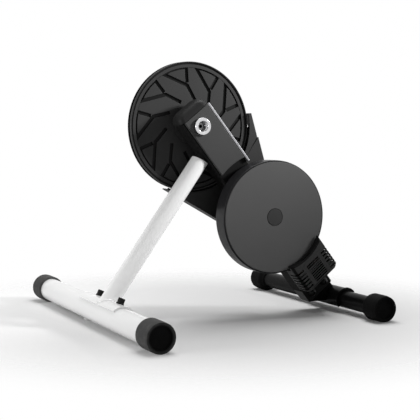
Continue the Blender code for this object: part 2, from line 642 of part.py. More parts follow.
def belt(rubber):
    r1 = pulley_rad - 0.0060 + GAP
    r2 = SMALL_PULLEY / 2 + GAP
    y0 = pulley_l + 0.0025
    y1 = y0 + BELT_WIDTH
    outer = loop_outline(r1 + 0.0034, r2 + 0.0034, 40, 10)
    inner = loop_outline(r1, r2, 40, 10)
    bm = bmesh.new()
    rows = []
    for pts, y in ((outer, y0), (outer, y1), (inner, y1), (inner, y0)):
        row = []
        for u, v in pts:
            x, z = at(u, v)
            row.append(bm.verts.new((x, y, z)))
        rows.append(row)
    n = len(outer)
    for k in range(4):
        a, b = rows[k], rows[(k + 1) % 4]
        for i in range(n):
            bm.faces.new((a[i], a[(i + 1) % n], b[(i + 1) % n], b[i]))
    solid("drive_belt", bm, rubber)


def guard(black, satin):
    lift = SHIFT / 2
    r1 = pulley_rad + GUARD_MARGIN
    r2 = SMALL_PULLEY / 2 + 0.0270
    b = math.degrees(math.asin((r1 - r2) / DRIVE_CENTRES))
    inner_r = pulley_rad + 0.0025
    y0, y1 = guard_y, pulley_r + 0.0045
    wall = GUARD_WALL

    def edge(side, a, drop=0.0):
        """The guard's straight outer edge where a line at angle a from the axle meets it."""
        t = math.radians(90 - b)
        k = (r1 - drop + side * lift * math.sin(t)) / math.cos(math.radians(a) - side * t)
        return k * math.cos(math.radians(a)), k * math.sin(math.radians(a))

    def shrink(by, n1=40, n2=22):
        return [(u, v + lift) for u, v in loop_outline(r1 - by, r2 - by, n1, n2)]

    # Lower shell, open round the pulley, and the small top piece above the parting line
    low, high, part = -61.5, 63.0, 43.5
    steps = [(r * math.cos(math.radians(a)), r * math.sin(math.radians(a)))
             for r, a in ((r1 + 0.0037, 32.5), (r1 + 0.0012, 25.0), (inner_r, 9.8))]

    def down(points, gap):
        return [(u + gap, v) for u, v in points]
    tail = [(u, v + lift) for u, v in arc(DRIVE_CENTRES, 0, r2, -(90 - b), 90 - b, 20)]
    main = arc(0, 0, inner_r, 9.8, low, 24)[1:] + [edge(-1, low)] + tail + [edge(1, part)]
    main += down(steps[:2], GAP) + [(steps[2][0] + GAP, steps[2][1])]
    shell = prism("belt_guard_shell", xz(main), y0, y1, black)
    combine(shell, [prism("i", xz(shrink(wall)), y0 + wall, y1 + 0.02)])
    fx, fz = at(DRIVE_CENTRES, 0)
    combine(shell, [cyl("h", fx, fz, 0.0226, y0 - 0.01, y0 + 0.01, 24)])

    drop = 0.0022
    top = arc(0, 0, inner_r, 9.8, high, 18) + [edge(1, high, drop), edge(1, part, drop)]
    top = down(top[:1], -GAP) + top[1:-1] + down(top[-1:], -GAP) + down(steps[:2], -GAP)
    fender = prism("belt_guard_fender", xz(top), y0, y1, satin)
    combine(fender, [prism("i", xz(shrink(drop + wall)), y0 + wall, y1 + 0.02)])

    # Drive side cover, smaller behind the open part of the pulley
    back_r = pulley_rad - 0.0070
    plate = [edge(1, 50.0)] + arc(0, 0, back_r, 56.0, 360 - 56.0, 36) + [edge(-1, -50.0)] + tail
    c0 = y1 + GAP
    cover = prism("belt_guard_cover", xz(plate), c0, c0 + 0.0026, black)
    hole = COVER_HOLE / 2
    combine(cover, [cyl("h", axle_x, AXLE_HEIGHT, hole, c0 - 0.01, c0 + 0.02, 28)])
    lip = lathe("l", axle_x, AXLE_HEIGHT, [(hole, c0), (hole + 0.0035, c0), (hole + 0.0035, c0 + 0.0060),
                                           (hole, c0 + 0.0060)], 28)
    combine(cover, [lip], "UNION")


def brake(black, steel, copper, green):
    uf = DRIVE_CENTRES
    half = BRAKE_WIDTH / 2
    end = uf + fly_rad + BRAKE_LENGTH
    start = uf + fly_rad - 0.0240
    split = (fly_l + fly_r) / 2
    wall = HOUSING_WALL
    fx, fz = at(uf, 0)
    lip_r = fly_rad - 0.0065

    def section(inset, front, back, c):
        v0, v1 = SHIFT - half + inset, SHIFT + half - inset
        return [(v0 + c, front), (v1 - c, front), (v1 - c * 0.35, front + c * 0.35), (v1, front + c),
                (v1, back), (v0, back), (v0, front + c), (v0 + c * 0.35, front + c * 0.35)]

    # Front shell
    seam = split - GAP
    front = loft_u("brake_housing_front", [(start, section(0, brake_l, seam, 0.0070)),
                                           (end - 0.0060, section(0, brake_l, seam, 0.0070)),
                                           (end, section(0.0040, brake_l + 0.0035, seam, 0.0060))], black)
    room = loft_u("r", [(start + 0.0165, section(wall, brake_l + wall, split + 0.01, 0.0055)),
                        (end - 0.0070, section(wall, brake_l + wall, split + 0.01, 0.0055)),
                        (end - wall, section(0.0060, brake_l + 0.0060, split + 0.01, 0.0050))])
    rim = cyl("w", fx, fz, fly_rad + 0.0025, fly_l - 0.0030, fly_r + 0.02, 56)
    deep = fly_l + 0.0010
    lip = lathe("l", fx, fz, [(0, deep), (lip_r - 0.0020, deep), (lip_r - 0.0020, fly_l - 0.0030),
                              (lip_r, brake_l + 0.0022), (lip_r + 0.0016, brake_l - 0.0001),
                              (lip_r + 0.0016, brake_l - 0.01), (0, brake_l - 0.01)], 56)
    combine(front, [room, rim, lip])
    # Cooling slots, one middle row and one row over each long corner
    n = int(SLOTS)
    s0, s1 = uf + fly_rad + 0.0080, end - 0.0085
    pitch = (s1 - s0) / (n - 1)
    w = SLOT_WIDTH / 2
    reach = SLOT_REACH / 2
    cuts = [block("s", s0 + i * pitch - w, s0 + i * pitch + w, SHIFT - reach, SHIFT + reach,
                  brake_l - 0.01, brake_l + wall + 0.001) for i in range(n)]
    m = max(3, int(round(n * 0.62)))
    pitch = (s1 - s0) / (m - 1)
    w = SIDE_SLOT / 2
    for side in (-1, 1):
        for i in range(m):
            u = s0 + i * pitch
            v0 = SHIFT + side * (half - 0.0175)
            v1 = SHIFT + side * (half + 0.01)
            cuts.append(block("s", u - w, u + w, min(v0, v1), max(v0, v1), brake_l - 0.01,
                              seam - 0.0045))
    combine(front, [join_all(cuts)])

    # Back shell, which also wraps the sides of the arm
    v0, v1 = SHIFT - half, SHIFT + half
    skirt = beam_l + 0.0070
    b0, b1 = v_low - GAP, v_high + GAP
    u_shape = [(v0, split + GAP), (v1, split + GAP), (v1, skirt), (b1, skirt), (b1, beam_l - GAP),
               (b0, beam_l - GAP), (b0, skirt), (v0, skirt)]
    back = loft_u("brake_housing_back", [(start, u_shape), (end, u_shape)], black)
    hole = [(v0 + wall, split - 0.01), (v1 - wall, split - 0.01), (v1 - wall, beam_l - 0.0028),
            (v0 + wall, beam_l - 0.0028)]
    combine(back, [loft_u("r", [(start - 0.05, hole), (end - wall, hole)]),
                   cyl("w", fx, fz, fly_rad + 0.0025, split - 0.05, beam_l + 0.02, 56)])
    for dv in (-FOOT_BOLTS / 2, FOOT_BOLTS / 2):
        x, z = at(bolt_u, SHIFT + dv)
        combine(back, [cyl("h", x, z, HEAD_RADIUS + GAP, split - 0.05, beam_l + 0.01, 20)])

    # Two pole core, one coil round each pole
    cy0, cy1 = split - 0.0095, split + 0.0095
    pole_in, pole_out, back_out = fly_rad + 0.0013, fly_rad + 0.0245, fly_rad + 0.0315
    lean = math.degrees(math.asin(SHIFT / back_out))
    core = prism("brake_core", xz(arc(uf, 0, pole_out, lean - 13, lean + 13, 12)
                                  + arc(uf, 0, back_out, lean + 13, lean - 13, 12)), cy0, cy1, steel)
    for side in (-1, 1):
        a = math.radians(lean + 8.2 * side)
        ca, sa = math.cos(a), math.sin(a)

        def turn(p):
            return [at(uf + r * ca - w * sa, r * sa + w * ca) for r, w in p]
        w = 0.0048
        pole = prism("p", turn([(pole_in, -w), (pole_out + 0.002, -w), (pole_out + 0.002, w), (pole_in, w)]),
                     cy0, cy1)
        combine(core, [pole], "UNION")
        c, k = w + GAP, w + 0.0060
        i0, i1 = pole_in + 0.0022, pole_out - 0.0016
        coil = prism("brake_coil_%s" % ("a" if side < 0 else "b"),
                     turn([(i0, -k), (i1, -k), (i1, k), (i0, k)]), cy0 - 0.0045, cy1 + 0.0045, copper)
        bevel(coil, 0.0022, 2)
        combine(coil, [prism("h", turn([(i0 - 0.01, -c), (i1 + 0.01, -c), (i1 + 0.01, c), (i0 - 0.01, c)]),
                             cy0 - GAP, cy1 + GAP)])

    # Control board behind the core, and the power inlet on the hidden side
    pu = end - wall - 0.0075
    block("control_board", pu - 0.0008, pu + 0.0008, SHIFT - half + 0.008, SHIFT + half - 0.008,
          brake_l + 0.0100, beam_l - 0.0062, green)
    ix, iz = at(end - 0.0180, SHIFT + half)
    jx, jz = at(end - 0.0180, SHIFT + half - 0.0110)
    iy = (split + beam_l) / 2
    hole = rod("h", (ix + su * 0.01, iy, iz + cu * 0.01), (jx, iy, jz), 0.0052, 0.0052, 24)
    combine(bpy.data.objects["brake_housing_back"], [hole])
    inlet = rod("power_inlet", (ix, iy, iz), (jx, iy, jz), 0.0049, 0.0049, 24, black)
    combine(inlet, [rod("h", (ix + su * 0.01, iy, iz + cu * 0.01),
                        at3(end - 0.0180, SHIFT + half - 0.0035, iy), 0.0030, 0.0030, 20)])


def at3(u, v, y):
    x, z = at(u, v)
    return x, y, z


main()
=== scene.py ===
import bmesh
import bpy
from math import asin, atan2, cos, hypot, pi, radians, sin, sqrt
from mathutils import Matrix, Vector


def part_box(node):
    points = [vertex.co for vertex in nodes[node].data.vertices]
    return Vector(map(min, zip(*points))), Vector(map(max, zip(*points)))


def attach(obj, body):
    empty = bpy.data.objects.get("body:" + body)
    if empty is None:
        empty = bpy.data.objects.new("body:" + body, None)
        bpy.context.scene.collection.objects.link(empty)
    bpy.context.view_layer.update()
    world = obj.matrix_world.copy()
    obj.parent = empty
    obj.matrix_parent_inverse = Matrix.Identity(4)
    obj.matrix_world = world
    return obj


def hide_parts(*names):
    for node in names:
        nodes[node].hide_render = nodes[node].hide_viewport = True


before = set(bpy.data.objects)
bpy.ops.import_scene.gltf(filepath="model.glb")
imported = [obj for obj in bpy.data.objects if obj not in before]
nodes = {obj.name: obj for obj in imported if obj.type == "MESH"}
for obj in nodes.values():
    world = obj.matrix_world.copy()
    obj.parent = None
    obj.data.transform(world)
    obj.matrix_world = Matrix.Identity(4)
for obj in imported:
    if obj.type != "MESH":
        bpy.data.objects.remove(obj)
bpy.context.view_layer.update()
print("frame loaded:", len(nodes), "nodes")


# Camera: the photo's own viewing angle
camera = {"place": (-0.8488, -1.7146, 0.3384), "turn": (85.613, 0.0, -26.270), "lens": 89.23, "sensor": 36.0}


def setCamera():
    data = bpy.data.cameras.new("photoCamera")
    data.lens = camera["lens"]
    data.sensor_width = camera["sensor"]
    ob = bpy.data.objects.new("photoCamera", data)
    ob.location = camera["place"]
    ob.rotation_euler = [radians(a) for a in camera["turn"]]
    bpy.context.scene.collection.objects.link(ob)
    bpy.context.scene.camera = ob
    bpy.context.scene.view_settings.view_transform = "Standard"


setCamera()


# Places, read from the frame
def middle(node):
    low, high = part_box(node)
    return (low + high) / 2


def halfWidth(node):
    low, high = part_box(node)
    return (high.x - low.x) / 2


def ends(node):
    # left and right end of a node, along the wheel's axis
    low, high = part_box(node)
    return low.y, high.y


axleAt = middle("large_pulley")
flyAt = middle("flywheel")
armDown = Vector((flyAt.x - axleAt.x, 0, flyAt.z - axleAt.z))
span = armDown.length
armDown.normalize()
armSide = Vector((-armDown.z, 0, armDown.x))
axisY = Vector((0, 1, 0))


# A shader socket that takes part in plain maths
class Wire:
    def __init__(self, tree, socket=None):
        self.tree = tree
        self.socket = socket

    def make(self, kind, settings=None, sockets=None, out=0):
        node = self.tree.nodes.new(kind)
        for key, value in (settings or {}).items():
            setattr(node, key, value)
        for key, value in (sockets or {}).items():
            if isinstance(value, Wire):
                self.tree.links.new(value.socket, node.inputs[key])
            else:
                node.inputs[key].default_value = value
        return Wire(self.tree, node.outputs[out])

    def maths(self, operation, a, b=0.0):
        return self.make("ShaderNodeMath", {"operation": operation}, {0: a, 1: b})

    def __add__(self, other):
        return self.maths("ADD", self, other)

    def __radd__(self, other):
        return self.maths("ADD", other, self)

    def __sub__(self, other):
        return self.maths("SUBTRACT", self, other)

    def __rsub__(self, other):
        return self.maths("SUBTRACT", other, self)

    def __mul__(self, other):
        return self.maths("MULTIPLY", self, other)

    def __rmul__(self, other):
        return self.maths("MULTIPLY", other, self)

    def __pow__(self, other):
        return self.maths("POWER", self, other)

    def __gt__(self, other):
        return self.maths("GREATER_THAN", self, other)

    def __lt__(self, other):
        return self.maths("LESS_THAN", self, other)


def noise(p, scale, detail=2.0, rough=0.5):
    return p.make("ShaderNodeTexNoise", {},
                  {"Vector": p, "Scale": scale, "Detail": detail, "Roughness": rough})


def rise(value, low, high, a=0.0, b=1.0):
    return value.make("ShaderNodeMapRange", {"interpolation_type": "SMOOTHSTEP"},
                      {"Value": value, "From Min": low, "From Max": high, "To Min": a, "To Max": b})


def between(factor, dark, light):
    return factor.make("ShaderNodeMix", {"data_type": "RGBA"}, {0: factor, 6: dark, 7: light}, out=2)


def shade(level, tint=(1, 1, 1)):
    return (level * tint[0], level * tint[1], level * tint[2], 1)


def apart(p):
    # x, y and z of a vector, each as a wire
    return [p.make("ShaderNodeSeparateXYZ", {}, {0: p}, out=i) for i in range(3)]


def together(p, x, y, z):
    return p.make("ShaderNodeCombineXYZ", {}, {0: x, 1: y, 2: z})


def around(p, centre):
    # distance from a line along Y through the centre, the angle round it, and y
    x, y, z = apart(p)
    x = x - centre[0]
    z = z - centre[2]
    return (x * x + z * z) ** 0.5, p.maths("ARCTAN2", z, x), y


def waves(p, value):
    return p.maths("SINE", value) * 0.5 + 0.5


def startFinish(name, gleam=None):
    material = bpy.data.materials.new(name)
    material.use_nodes = True
    tree = material.node_tree
    shader = tree.nodes["Principled BSDF"]
    if gleam is not None:
        shader.inputs["Specular IOR Level"].default_value = gleam
    p = Wire(tree).make("ShaderNodeTexCoord", {}, {}, out=3)
    return material, shader, p


def connect(shader, p, colour, rough, metal, height, depth, strength):
    for key, wire in (("Base Color", colour), ("Roughness", rough), ("Metallic", metal)):
        if isinstance(wire, Wire):
            p.tree.links.new(wire.socket, shader.inputs[key])
        else:
            shader.inputs[key].default_value = wire
    bump = p.make("ShaderNodeBump", {}, {"Height": height, "Distance": depth, "Strength": strength})
    p.tree.links.new(bump.socket, shader.inputs["Normal"])


def whitePaint(name, level):
    # gloss powder coat: slight orange peel, faint uneven gloss, a trace of dust
    material, shader, p = startFinish(name)
    cloud = noise(p, 7, 3)
    dust = rise(noise(p, 210, 4, 0.6), 0.60, 0.80)
    colour = between(cloud, shade(level), shade(level + 0.04, (1.0, 1.0, 0.995)))
    colour = between(dust * 0.05, colour, shade(0.66, (1.0, 0.98, 0.95)))
    rough = 0.20 + 0.08 * cloud + 0.06 * dust
    shader.inputs["Coat Weight"].default_value = 0.35
    shader.inputs["Coat Roughness"].default_value = 0.08
    connect(shader, p, colour, rough, 0.0, noise(p, 420, 2) + 0.3 * noise(p, 90, 1), 0.00006, 0.5)
    return material


def blackPaint(name, level, gloss, gleam):
    # semi gloss powder coat on steel and aluminium
    material, shader, p = startFinish(name, gleam)
    cloud = noise(p, 12, 3)
    grain = noise(p, 1500, 2, 0.6)
    dust = rise(noise(p, 240, 5, 0.65), 0.58, 0.80)
    colour = between(cloud, shade(level * 0.85), shade(level * 1.25))
    colour = between(dust * 0.12, colour, shade(level * 3.0, (1.0, 0.97, 0.93)))
    rough = gloss + 0.09 * cloud + 0.08 * dust
    connect(shader, p, colour, rough, 0.0, grain + 0.6 * noise(p, 380, 1), 0.00007, 0.55)
    return material


def mouldedPlastic(name, level, gloss, scale, gleam, paintedShade=None):
    # spark eroded mould texture, slightly greyer where it is touched; a painted shade mask blackens a region
    material, shader, p = startFinish(name, gleam)
    cloud = noise(p, 9, 4, 0.55)
    pits = p.make("ShaderNodeTexVoronoi", {"feature": "F1"}, {"Vector": p, "Scale": scale * 0.55})
    grain = noise(p, scale, 2, 0.7)
    rub = rise(noise(p, 160, 5, 0.6), 0.57, 0.78)
    colour = between(cloud, shade(level * 0.85), shade(level * 1.15))
    colour = between(rub * 0.12, colour, shade(level * 2.0, (1.0, 0.99, 0.97)))
    if paintedShade:
        colour = between(paintedShade(p), colour, shade(level * 0.08))
    rough = gloss + 0.10 * cloud + 0.06 * grain - 0.05 * rub
    connect(shader, p, colour, rough, 0.0, grain * 0.7 + pits * 0.5, 0.00009, 0.6)
    return material


# Regions of the brake housing's front that are painted black as shade
housing = {"lip": 0.0029, "middle": 0.0045, "inside": 0.0392, "deep": 0.1495, "skin": 0.0006}


def housingPaintedShade(p):
    # painted shade: the wall that follows the flywheel, and everything inside the housing, turn black
    r, _, y = around(p, flyAt)
    edge = halfWidth("flywheel") - housing["lip"]
    lip = 1.0 - rise(r, edge - 0.0006, edge + 0.0002)
    x, _, z = apart(p)
    across = (z - axleAt.z) * armDown.x - (x - axleAt.x) * armDown.z
    across = p.maths("ABSOLUTE", across - housing["middle"])
    inner = rise(across, housing["inside"], housing["inside"] + 0.0006, 1.0, 0.0)
    behind = ends("brake_housing_front")[0] + housing["skin"]
    inner = inner * rise(y, behind, behind + 0.0008)
    inner = inner * rise(r, housing["deep"], housing["deep"] + 0.0006, 1.0, 0.0)
    return p.maths("MAXIMUM", lip, inner)


def rubber(name, level, leg, gleam, hollow=0.0055):
    # matt rubber with fine pores and a grey bloom of dust; the hollow end is painted black as shade
    material, shader, p = startFinish(name, gleam)
    bloom = rise(noise(p, 90, 5, 0.62), 0.42, 0.72)
    pores = noise(p, 1900, 3, 0.7)
    big = halfWidth(leg + "_cap_left")
    floor = ends(leg + "_cap_right")[1] - hollow
    r, _, y = around(p, middle(leg + "_leg_tube"))
    # painted shade: the recessed end face turns near black
    black = (p.maths("ABSOLUTE", y) > floor) * (1.0 - rise(r, big * 0.74, big * 0.90))
    colour = between(bloom, shade(level * 0.85), shade(level * 1.35, (1.0, 0.985, 0.97)))
    colour = between(black, colour, shade(0.0012))
    connect(shader, p, colour, 0.66 + 0.14 * bloom, 0.0, pores + 0.5 * noise(p, 300, 2), 0.00012, 0.6)
    return material


def turnedMetal(name, centre, tint, gloss, metal=1.0, ring=5200.0, depth=0.00002, darker=0.75,
                recess=None, gleam=None):
    # lathe marks run round the axis, with stains and finer scratches; a deep recess is painted dark as shade
    material, shader, p = startFinish(name, gleam)
    r, angle, y = around(p, centre)
    marks = noise(together(p, r * ring, y * ring, angle * 0.6), 1.0, 3, 0.6)
    stain = noise(p, 70, 4, 0.6)
    colour = between(stain, shade(darker, tint), shade(1.0, tint))
    if recess:
        start = ends("dropout_adapter_left")[0]
        # painted shade: the recess turns darker with depth
        paintedShade = rise(y, start + recess["from"], start + recess["to"]) * (r < recess["radius"])
        colour = between(paintedShade, colour, shade(0.05))
    rough = gloss * (0.75 + 0.6 * marks + 0.4 * rise(stain, 0.45, 0.75))
    connect(shader, p, colour, rough, metal, marks, depth, 0.7)
    return material


def discPaint(name, centre, level, gloss, gleam, below=None):
    # satin black over turned iron: faint rings under the paint, painted shade in the grooves below a depth
    material, shader, p = startFinish(name, gleam)
    r, angle, y = around(p, centre)
    rings = noise(together(p, r * 900.0, y * 40.0, angle * 0.25), 1.0, 2, 0.5)
    grain = noise(p, 1800, 2, 0.6)
    cloud = noise(p, 8, 3)
    rub = rise(noise(p, 190, 5, 0.6), 0.60, 0.82)
    colour = between(cloud, shade(level * 0.92), shade(level * 1.08))
    colour = between(rub * 0.06, colour, shade(level * 1.9))
    if below:
        # painted shade: everything deeper than the given depth turns dark
        colour = between(rise(y, below, below + 0.0004), colour, shade(level * 0.06))
    rough = gloss + 0.06 * cloud + 0.05 * rings
    connect(shader, p, colour, rough, 0.0, rings * 0.6 + grain * 0.5, 0.00005, 0.5)
    return material


def beltRubber(name):
    # fabric backed rubber, with a fine weave across the belt
    material, shader, p = startFinish(name, 0.2)
    weave = waves(p, apart(p)[1] * 5200.0)
    speck = noise(p, 1400, 3, 0.7)
    colour = between(speck, shade(0.010), shade(0.020))
    connect(shader, p, colour, 0.58 + 0.12 * speck, 0.0, weave * 0.5 + speck * 0.5, 0.00012, 0.7)
    return material


def copperWire(name):
    # enamelled wire laid turn by turn along the poles, its colour darkened near black as painted shade
    # inside the housing
    material, shader, p = startFinish(name)
    x, _, z = apart(p)
    turns = waves(p, (x * armDown.x + z * armDown.z) * 5600.0)
    colour = between(noise(p, 240, 3), (0.010, 0.005, 0.003, 1), (0.026, 0.012, 0.007, 1))
    connect(shader, p, colour, 0.42 + 0.18 * turns, 0.6, turns, 0.00035, 1.0)
    return material


def laminations(name):
    # stacked electrical steel sheets, their colour darkened as painted shade inside the housing
    material, shader, p = startFinish(name)
    sheets = waves(p, apart(p)[1] * 12500.0)
    colour = between(noise(p, 180, 3), shade(0.04, (1.0, 0.97, 0.93)), shade(0.07))
    connect(shader, p, colour, 0.36 + 0.2 * sheets, 0.9, sheets, 0.0001, 0.8)
    return material


def boardLacquer(name):
    # green solder mask with paler tracks under it, both darkened as painted shade inside the housing
    material, shader, p = startFinish(name)
    x, y, z = apart(p)
    tracks = rise(p.maths("SINE", y * 1500.0) + p.maths("SINE", (x + z) * 1300.0), 0.9, 1.2)
    colour = between(tracks, (0.002, 0.012, 0.006, 1), (0.008, 0.036, 0.016, 1))
    connect(shader, p, colour, 0.30 + 0.1 * noise(p, 300, 2), 0.0, tracks, 0.00004, 0.8)
    return material


# Each finish, with the record's slot that it stands for
# Depths and radius of the dropout ring's recess that is painted dark as shade
recess = {"from": 0.0020, "to": 0.0150, "radius": 0.0108}
# Depths past which the pulley face's grooves and the ring's groove are painted dark as shade
grooveShadeTop = ends("pulley_face")[0] + 0.0001
ringShadeTop = ends("large_pulley")[0] + 0.0023
finishes = {
    "white": (whitePaint("whitePaint", 0.82), "white_paint"),
    # a lighter copy of the white paint: painted light on the strut
    "strutWhiteLit": (whitePaint("strutWhiteLit", 0.91), "white_paint"),
    "blackPaint": (blackPaint("blackPaint", 0.003, 0.24, 0.04), "black_paint"),
    "armPaint": (blackPaint("armPaint", 0.009, 0.36, 0.05), "black_paint"),
    "screwBlack": (blackPaint("screwBlack", 0.005, 0.36, 0.12), "black_paint"),
    "blackMetal": (blackPaint("blackMetal", 0.016, 0.36, 0.45), "black_aluminium"),
    "plastic": (mouldedPlastic("mouldedPlastic", 0.020, 0.46, 2600, 0.22), "black_plastic"),
    "guard": (mouldedPlastic("guardPlastic", 0.026, 0.48, 2600, 0.14), "black_plastic"),
    "plasticFine": (mouldedPlastic("plasticFine", 0.038, 0.42, 3400, 0.22), "black_plastic"),
    "headPlastic": (mouldedPlastic("headPlastic", 0.015, 0.42, 3400, 0.10), "black_plastic"),
    "capBlack": (mouldedPlastic("capBlack", 0.024, 0.50, 3000, 0.20), "black_plastic"),
    # a darker copy of the black plastic: painted shade on the brake housing's back
    "backPlasticShaded": (mouldedPlastic("backPlasticShaded", 0.005, 0.50, 2400, 0.02), "black_plastic"),
    "housing": (mouldedPlastic("housingPlastic", 0.038, 0.48, 2400, 0.06, housingPaintedShade), "black_plastic"),
    "grey": (mouldedPlastic("greyRubber", 0.46, 0.62, 1800, 0.30), "grey_rubber"),
    "rubberFront": (rubber("rubberFront", 0.058, "front", 0.06), "rubber"),
    "rubberRear": (rubber("rubberRear", 0.003, "rear", 0.04), "rubber"),
    "trim": (turnedMetal("trim", axleAt, (0.24, 0.24, 0.25), 0.42, 0.7, 3200.0, 0.00001, 0.85),
             "bright_chrome"),
    "chrome": (turnedMetal("chrome", axleAt, (0.62, 0.62, 0.63), 0.20, 1.0, 4200.0, 0.00001, 0.92),
               "bright_chrome"),
    "ring": (turnedMetal("ring", axleAt, (0.70, 0.70, 0.71), 0.10, 1.0, 4200.0, 0.00001, 0.92, recess),
             "bright_chrome"),
    "steel": (turnedMetal("steel", axleAt, (0.62, 0.63, 0.64), 0.24), "steel"),
    "steelFly": (turnedMetal("steelFly", flyAt, (0.58, 0.59, 0.60), 0.24), "steel"),
    "darkSteel": (turnedMetal("darkSteel", axleAt, (0.16, 0.16, 0.17), 0.30, 0.9), "dark_steel"),
    "iron": (turnedMetal("iron", flyAt, (0.014, 0.014, 0.015), 0.34, 0.0, 2600.0, 0.00001, gleam=0.10),
             "flywheel_iron"),
    "discBlack": (discPaint("discBlack", flyAt, 0.088, 0.46, 0.12), "black_aluminium"),
    "pulleyBlack": (discPaint("pulleyBlack", axleAt, 0.040, 0.44, 0.10, grooveShadeTop), "black_aluminium"),
    "pulleyRing": (discPaint("pulleyRing", axleAt, 0.040, 0.44, 0.12, ringShadeTop), "black_aluminium"),
    "belt": (beltRubber("beltRubber"), "rubber"),
    "copper": (copperWire("copperWire"), "copper"),
    "core": (laminations("laminations"), "steel"),
    "board": (boardLacquer("boardLacquer"), "board")}
print("finishes made:", len(finishes))


# Steps that several pieces share
def clearPick():
    for other in bpy.context.selected_objects:
        other.select_set(False)


def pickOnly(ob):
    clearPick()
    ob.select_set(True)
    bpy.context.view_layer.objects.active = ob


def placeInMesh(ob):
    pickOnly(ob)
    bpy.ops.object.transform_apply(location=True, rotation=True, scale=True)


def modify(ob, kind, **settings):
    # adds a modifier and applies it
    pickOnly(ob)
    modifier = ob.modifiers.new("step", kind)
    for key, value in settings.items():
        setattr(modifier, key, value)
    bpy.ops.object.modifier_apply(modifier=modifier.name)


def joinClose(ob, distance):
    # points that lie closer than the distance become one; sorted first, so that each run
    # joins the same ones
    pickOnly(ob)
    bpy.ops.object.mode_set(mode="EDIT")
    bpy.ops.mesh.select_all(action="SELECT")
    bpy.ops.mesh.sort_elements(type="CURSOR_DISTANCE", elements={"VERT", "EDGE", "FACE"})
    bpy.ops.mesh.remove_doubles(threshold=distance)
    bpy.ops.mesh.dissolve_degenerate(threshold=0.00001)
    bpy.ops.object.mode_set(mode="OBJECT")


def joined(parts):
    # several objects as one, under the first one's name
    pickOnly(parts[0])
    for part in parts:
        part.select_set(True)
    bpy.ops.object.join()
    return bpy.context.active_object


def faceOut():
    # in edit mode: all faces point outwards
    bpy.ops.mesh.select_all(action="SELECT")
    bpy.ops.mesh.normals_make_consistent(inside=False)


def dress(ob, finish):
    ob.data.materials.clear()
    ob.data.materials.append(finishes[finish][0])


def settle(ob, body, finish, stands=(), edge=0.0, angle=32, merge=0.0):
    # last steps of each piece: place into the mesh, soft edges, finish, the body it rides on;
    # merge first joins the tiny edges that would hold every soft edge back, else the slivers
    # that a held back edge leaves are joined
    placeInMesh(ob)
    if merge:
        joinClose(ob, merge)
    if edge:
        modify(ob, "BEVEL", width=edge, segments=2, limit_method="ANGLE", angle_limit=radians(angle),
               use_clamp_overlap=not merge, miter_outer="MITER_ARC")
        if not merge:
            joinClose(ob, 0.000003)
    bpy.ops.object.shade_smooth_by_angle(angle=radians(38))
    modify(ob, "WEIGHTED_NORMAL", keep_sharp=True, weight=60)
    dress(ob, finish)
    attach(ob, body)
    if stands:
        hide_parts(*stands)
    for node in stands:
        dress(nodes[node], finish)


def lineFrom(name, place, steps):
    # a line pulled out of one vertex, step by step; stays in edit mode
    clearPick()
    bpy.ops.mesh.primitive_plane_add(size=0.002, location=place)
    ob = bpy.context.active_object
    ob.name = name
    bpy.ops.object.mode_set(mode="EDIT")
    bpy.ops.mesh.select_all(action="SELECT")
    bpy.ops.mesh.merge(type="CENTER")
    for step in steps:
        bpy.ops.mesh.extrude_region_move(TRANSFORM_OT_translate={"value": step})
    bpy.ops.mesh.select_all(action="SELECT")
    return ob


def turned(name, centre, line, steps=96):
    # a line of radius and y points, spun round an axis along Y; closed where it misses the axis
    x, z = centre[0], centre[2]
    if line[0][0] > 0 and line[-1][0] > 0:
        line = line + line[:1]
    pulls = [(r1 - r0, y1 - y0, 0) for (r0, y0), (r1, y1) in zip(line, line[1:])]
    ob = lineFrom(name, (x + line[0][0], line[0][1], z), pulls)
    bpy.ops.mesh.spin(steps=steps, angle=2 * pi, center=(x, 0, z), axis=(0, 1, 0))
    bpy.ops.mesh.select_all(action="SELECT")
    bpy.ops.mesh.remove_doubles(threshold=0.000001)
    faceOut()
    bpy.ops.object.mode_set(mode="OBJECT")
    placeInMesh(ob)
    return ob


def refined(node, name, flat=0.6):
    # a merged copy of a CAD node whose coplanar triangles are one face, ready for soft edges
    ob = nodes[node].copy()
    ob.data = nodes[node].data.copy()
    for key in list(ob.keys()):
        if key.startswith("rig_"):
            del ob[key]
    ob.parent = None
    ob.name = name
    bpy.context.scene.collection.objects.link(ob)
    pickOnly(ob)
    bpy.ops.mesh.customdata_custom_splitnormals_clear()
    bpy.ops.object.mode_set(mode="EDIT")
    bpy.ops.mesh.select_all(action="SELECT")
    bpy.ops.mesh.remove_doubles(threshold=0.00001)
    bpy.ops.mesh.dissolve_limited(angle_limit=radians(flat))
    bpy.ops.mesh.select_all(action="DESELECT")
    bpy.ops.object.mode_set(mode="OBJECT")
    return ob


def another(ob, name, shift):
    # the same piece again, with its own mesh
    twin = ob.copy()
    twin.data = ob.data.copy()
    twin.name = name
    twin.location = ob.location + shift
    bpy.context.scene.collection.objects.link(twin)
    return twin


def hollowed(ob, cutter, crossing=False):
    # takes the cutter out of the piece
    modify(ob, "BOOLEAN", operation="DIFFERENCE", solver="EXACT", object=cutter, use_self=crossing)
    bpy.data.objects.remove(cutter)


def cutSocket(ob, centre, direction, across, depth):
    # a hexagon socket that opens along the direction, without the slivers that the cut leaves
    clearPick()
    bpy.ops.mesh.primitive_cylinder_add(vertices=6, radius=across / sqrt(3), depth=2 * depth,
                                        location=centre)
    key = bpy.context.active_object
    key.rotation_euler = direction.to_track_quat("Z", "Y").to_euler()
    placeInMesh(key)
    hollowed(ob, key)
    joinClose(ob, 0.00001)


# Rubber cups on the four leg ends
cups = {"face": 0.0046, "taperLength": 0.0070, "room": 0.0003, "floor": 0.0094, "lip": 0.0014,
        "neck": {"front": 0.0026, "rear": 0.0110}, "taper": {"front": 0.0003, "rear": 0.0010}}


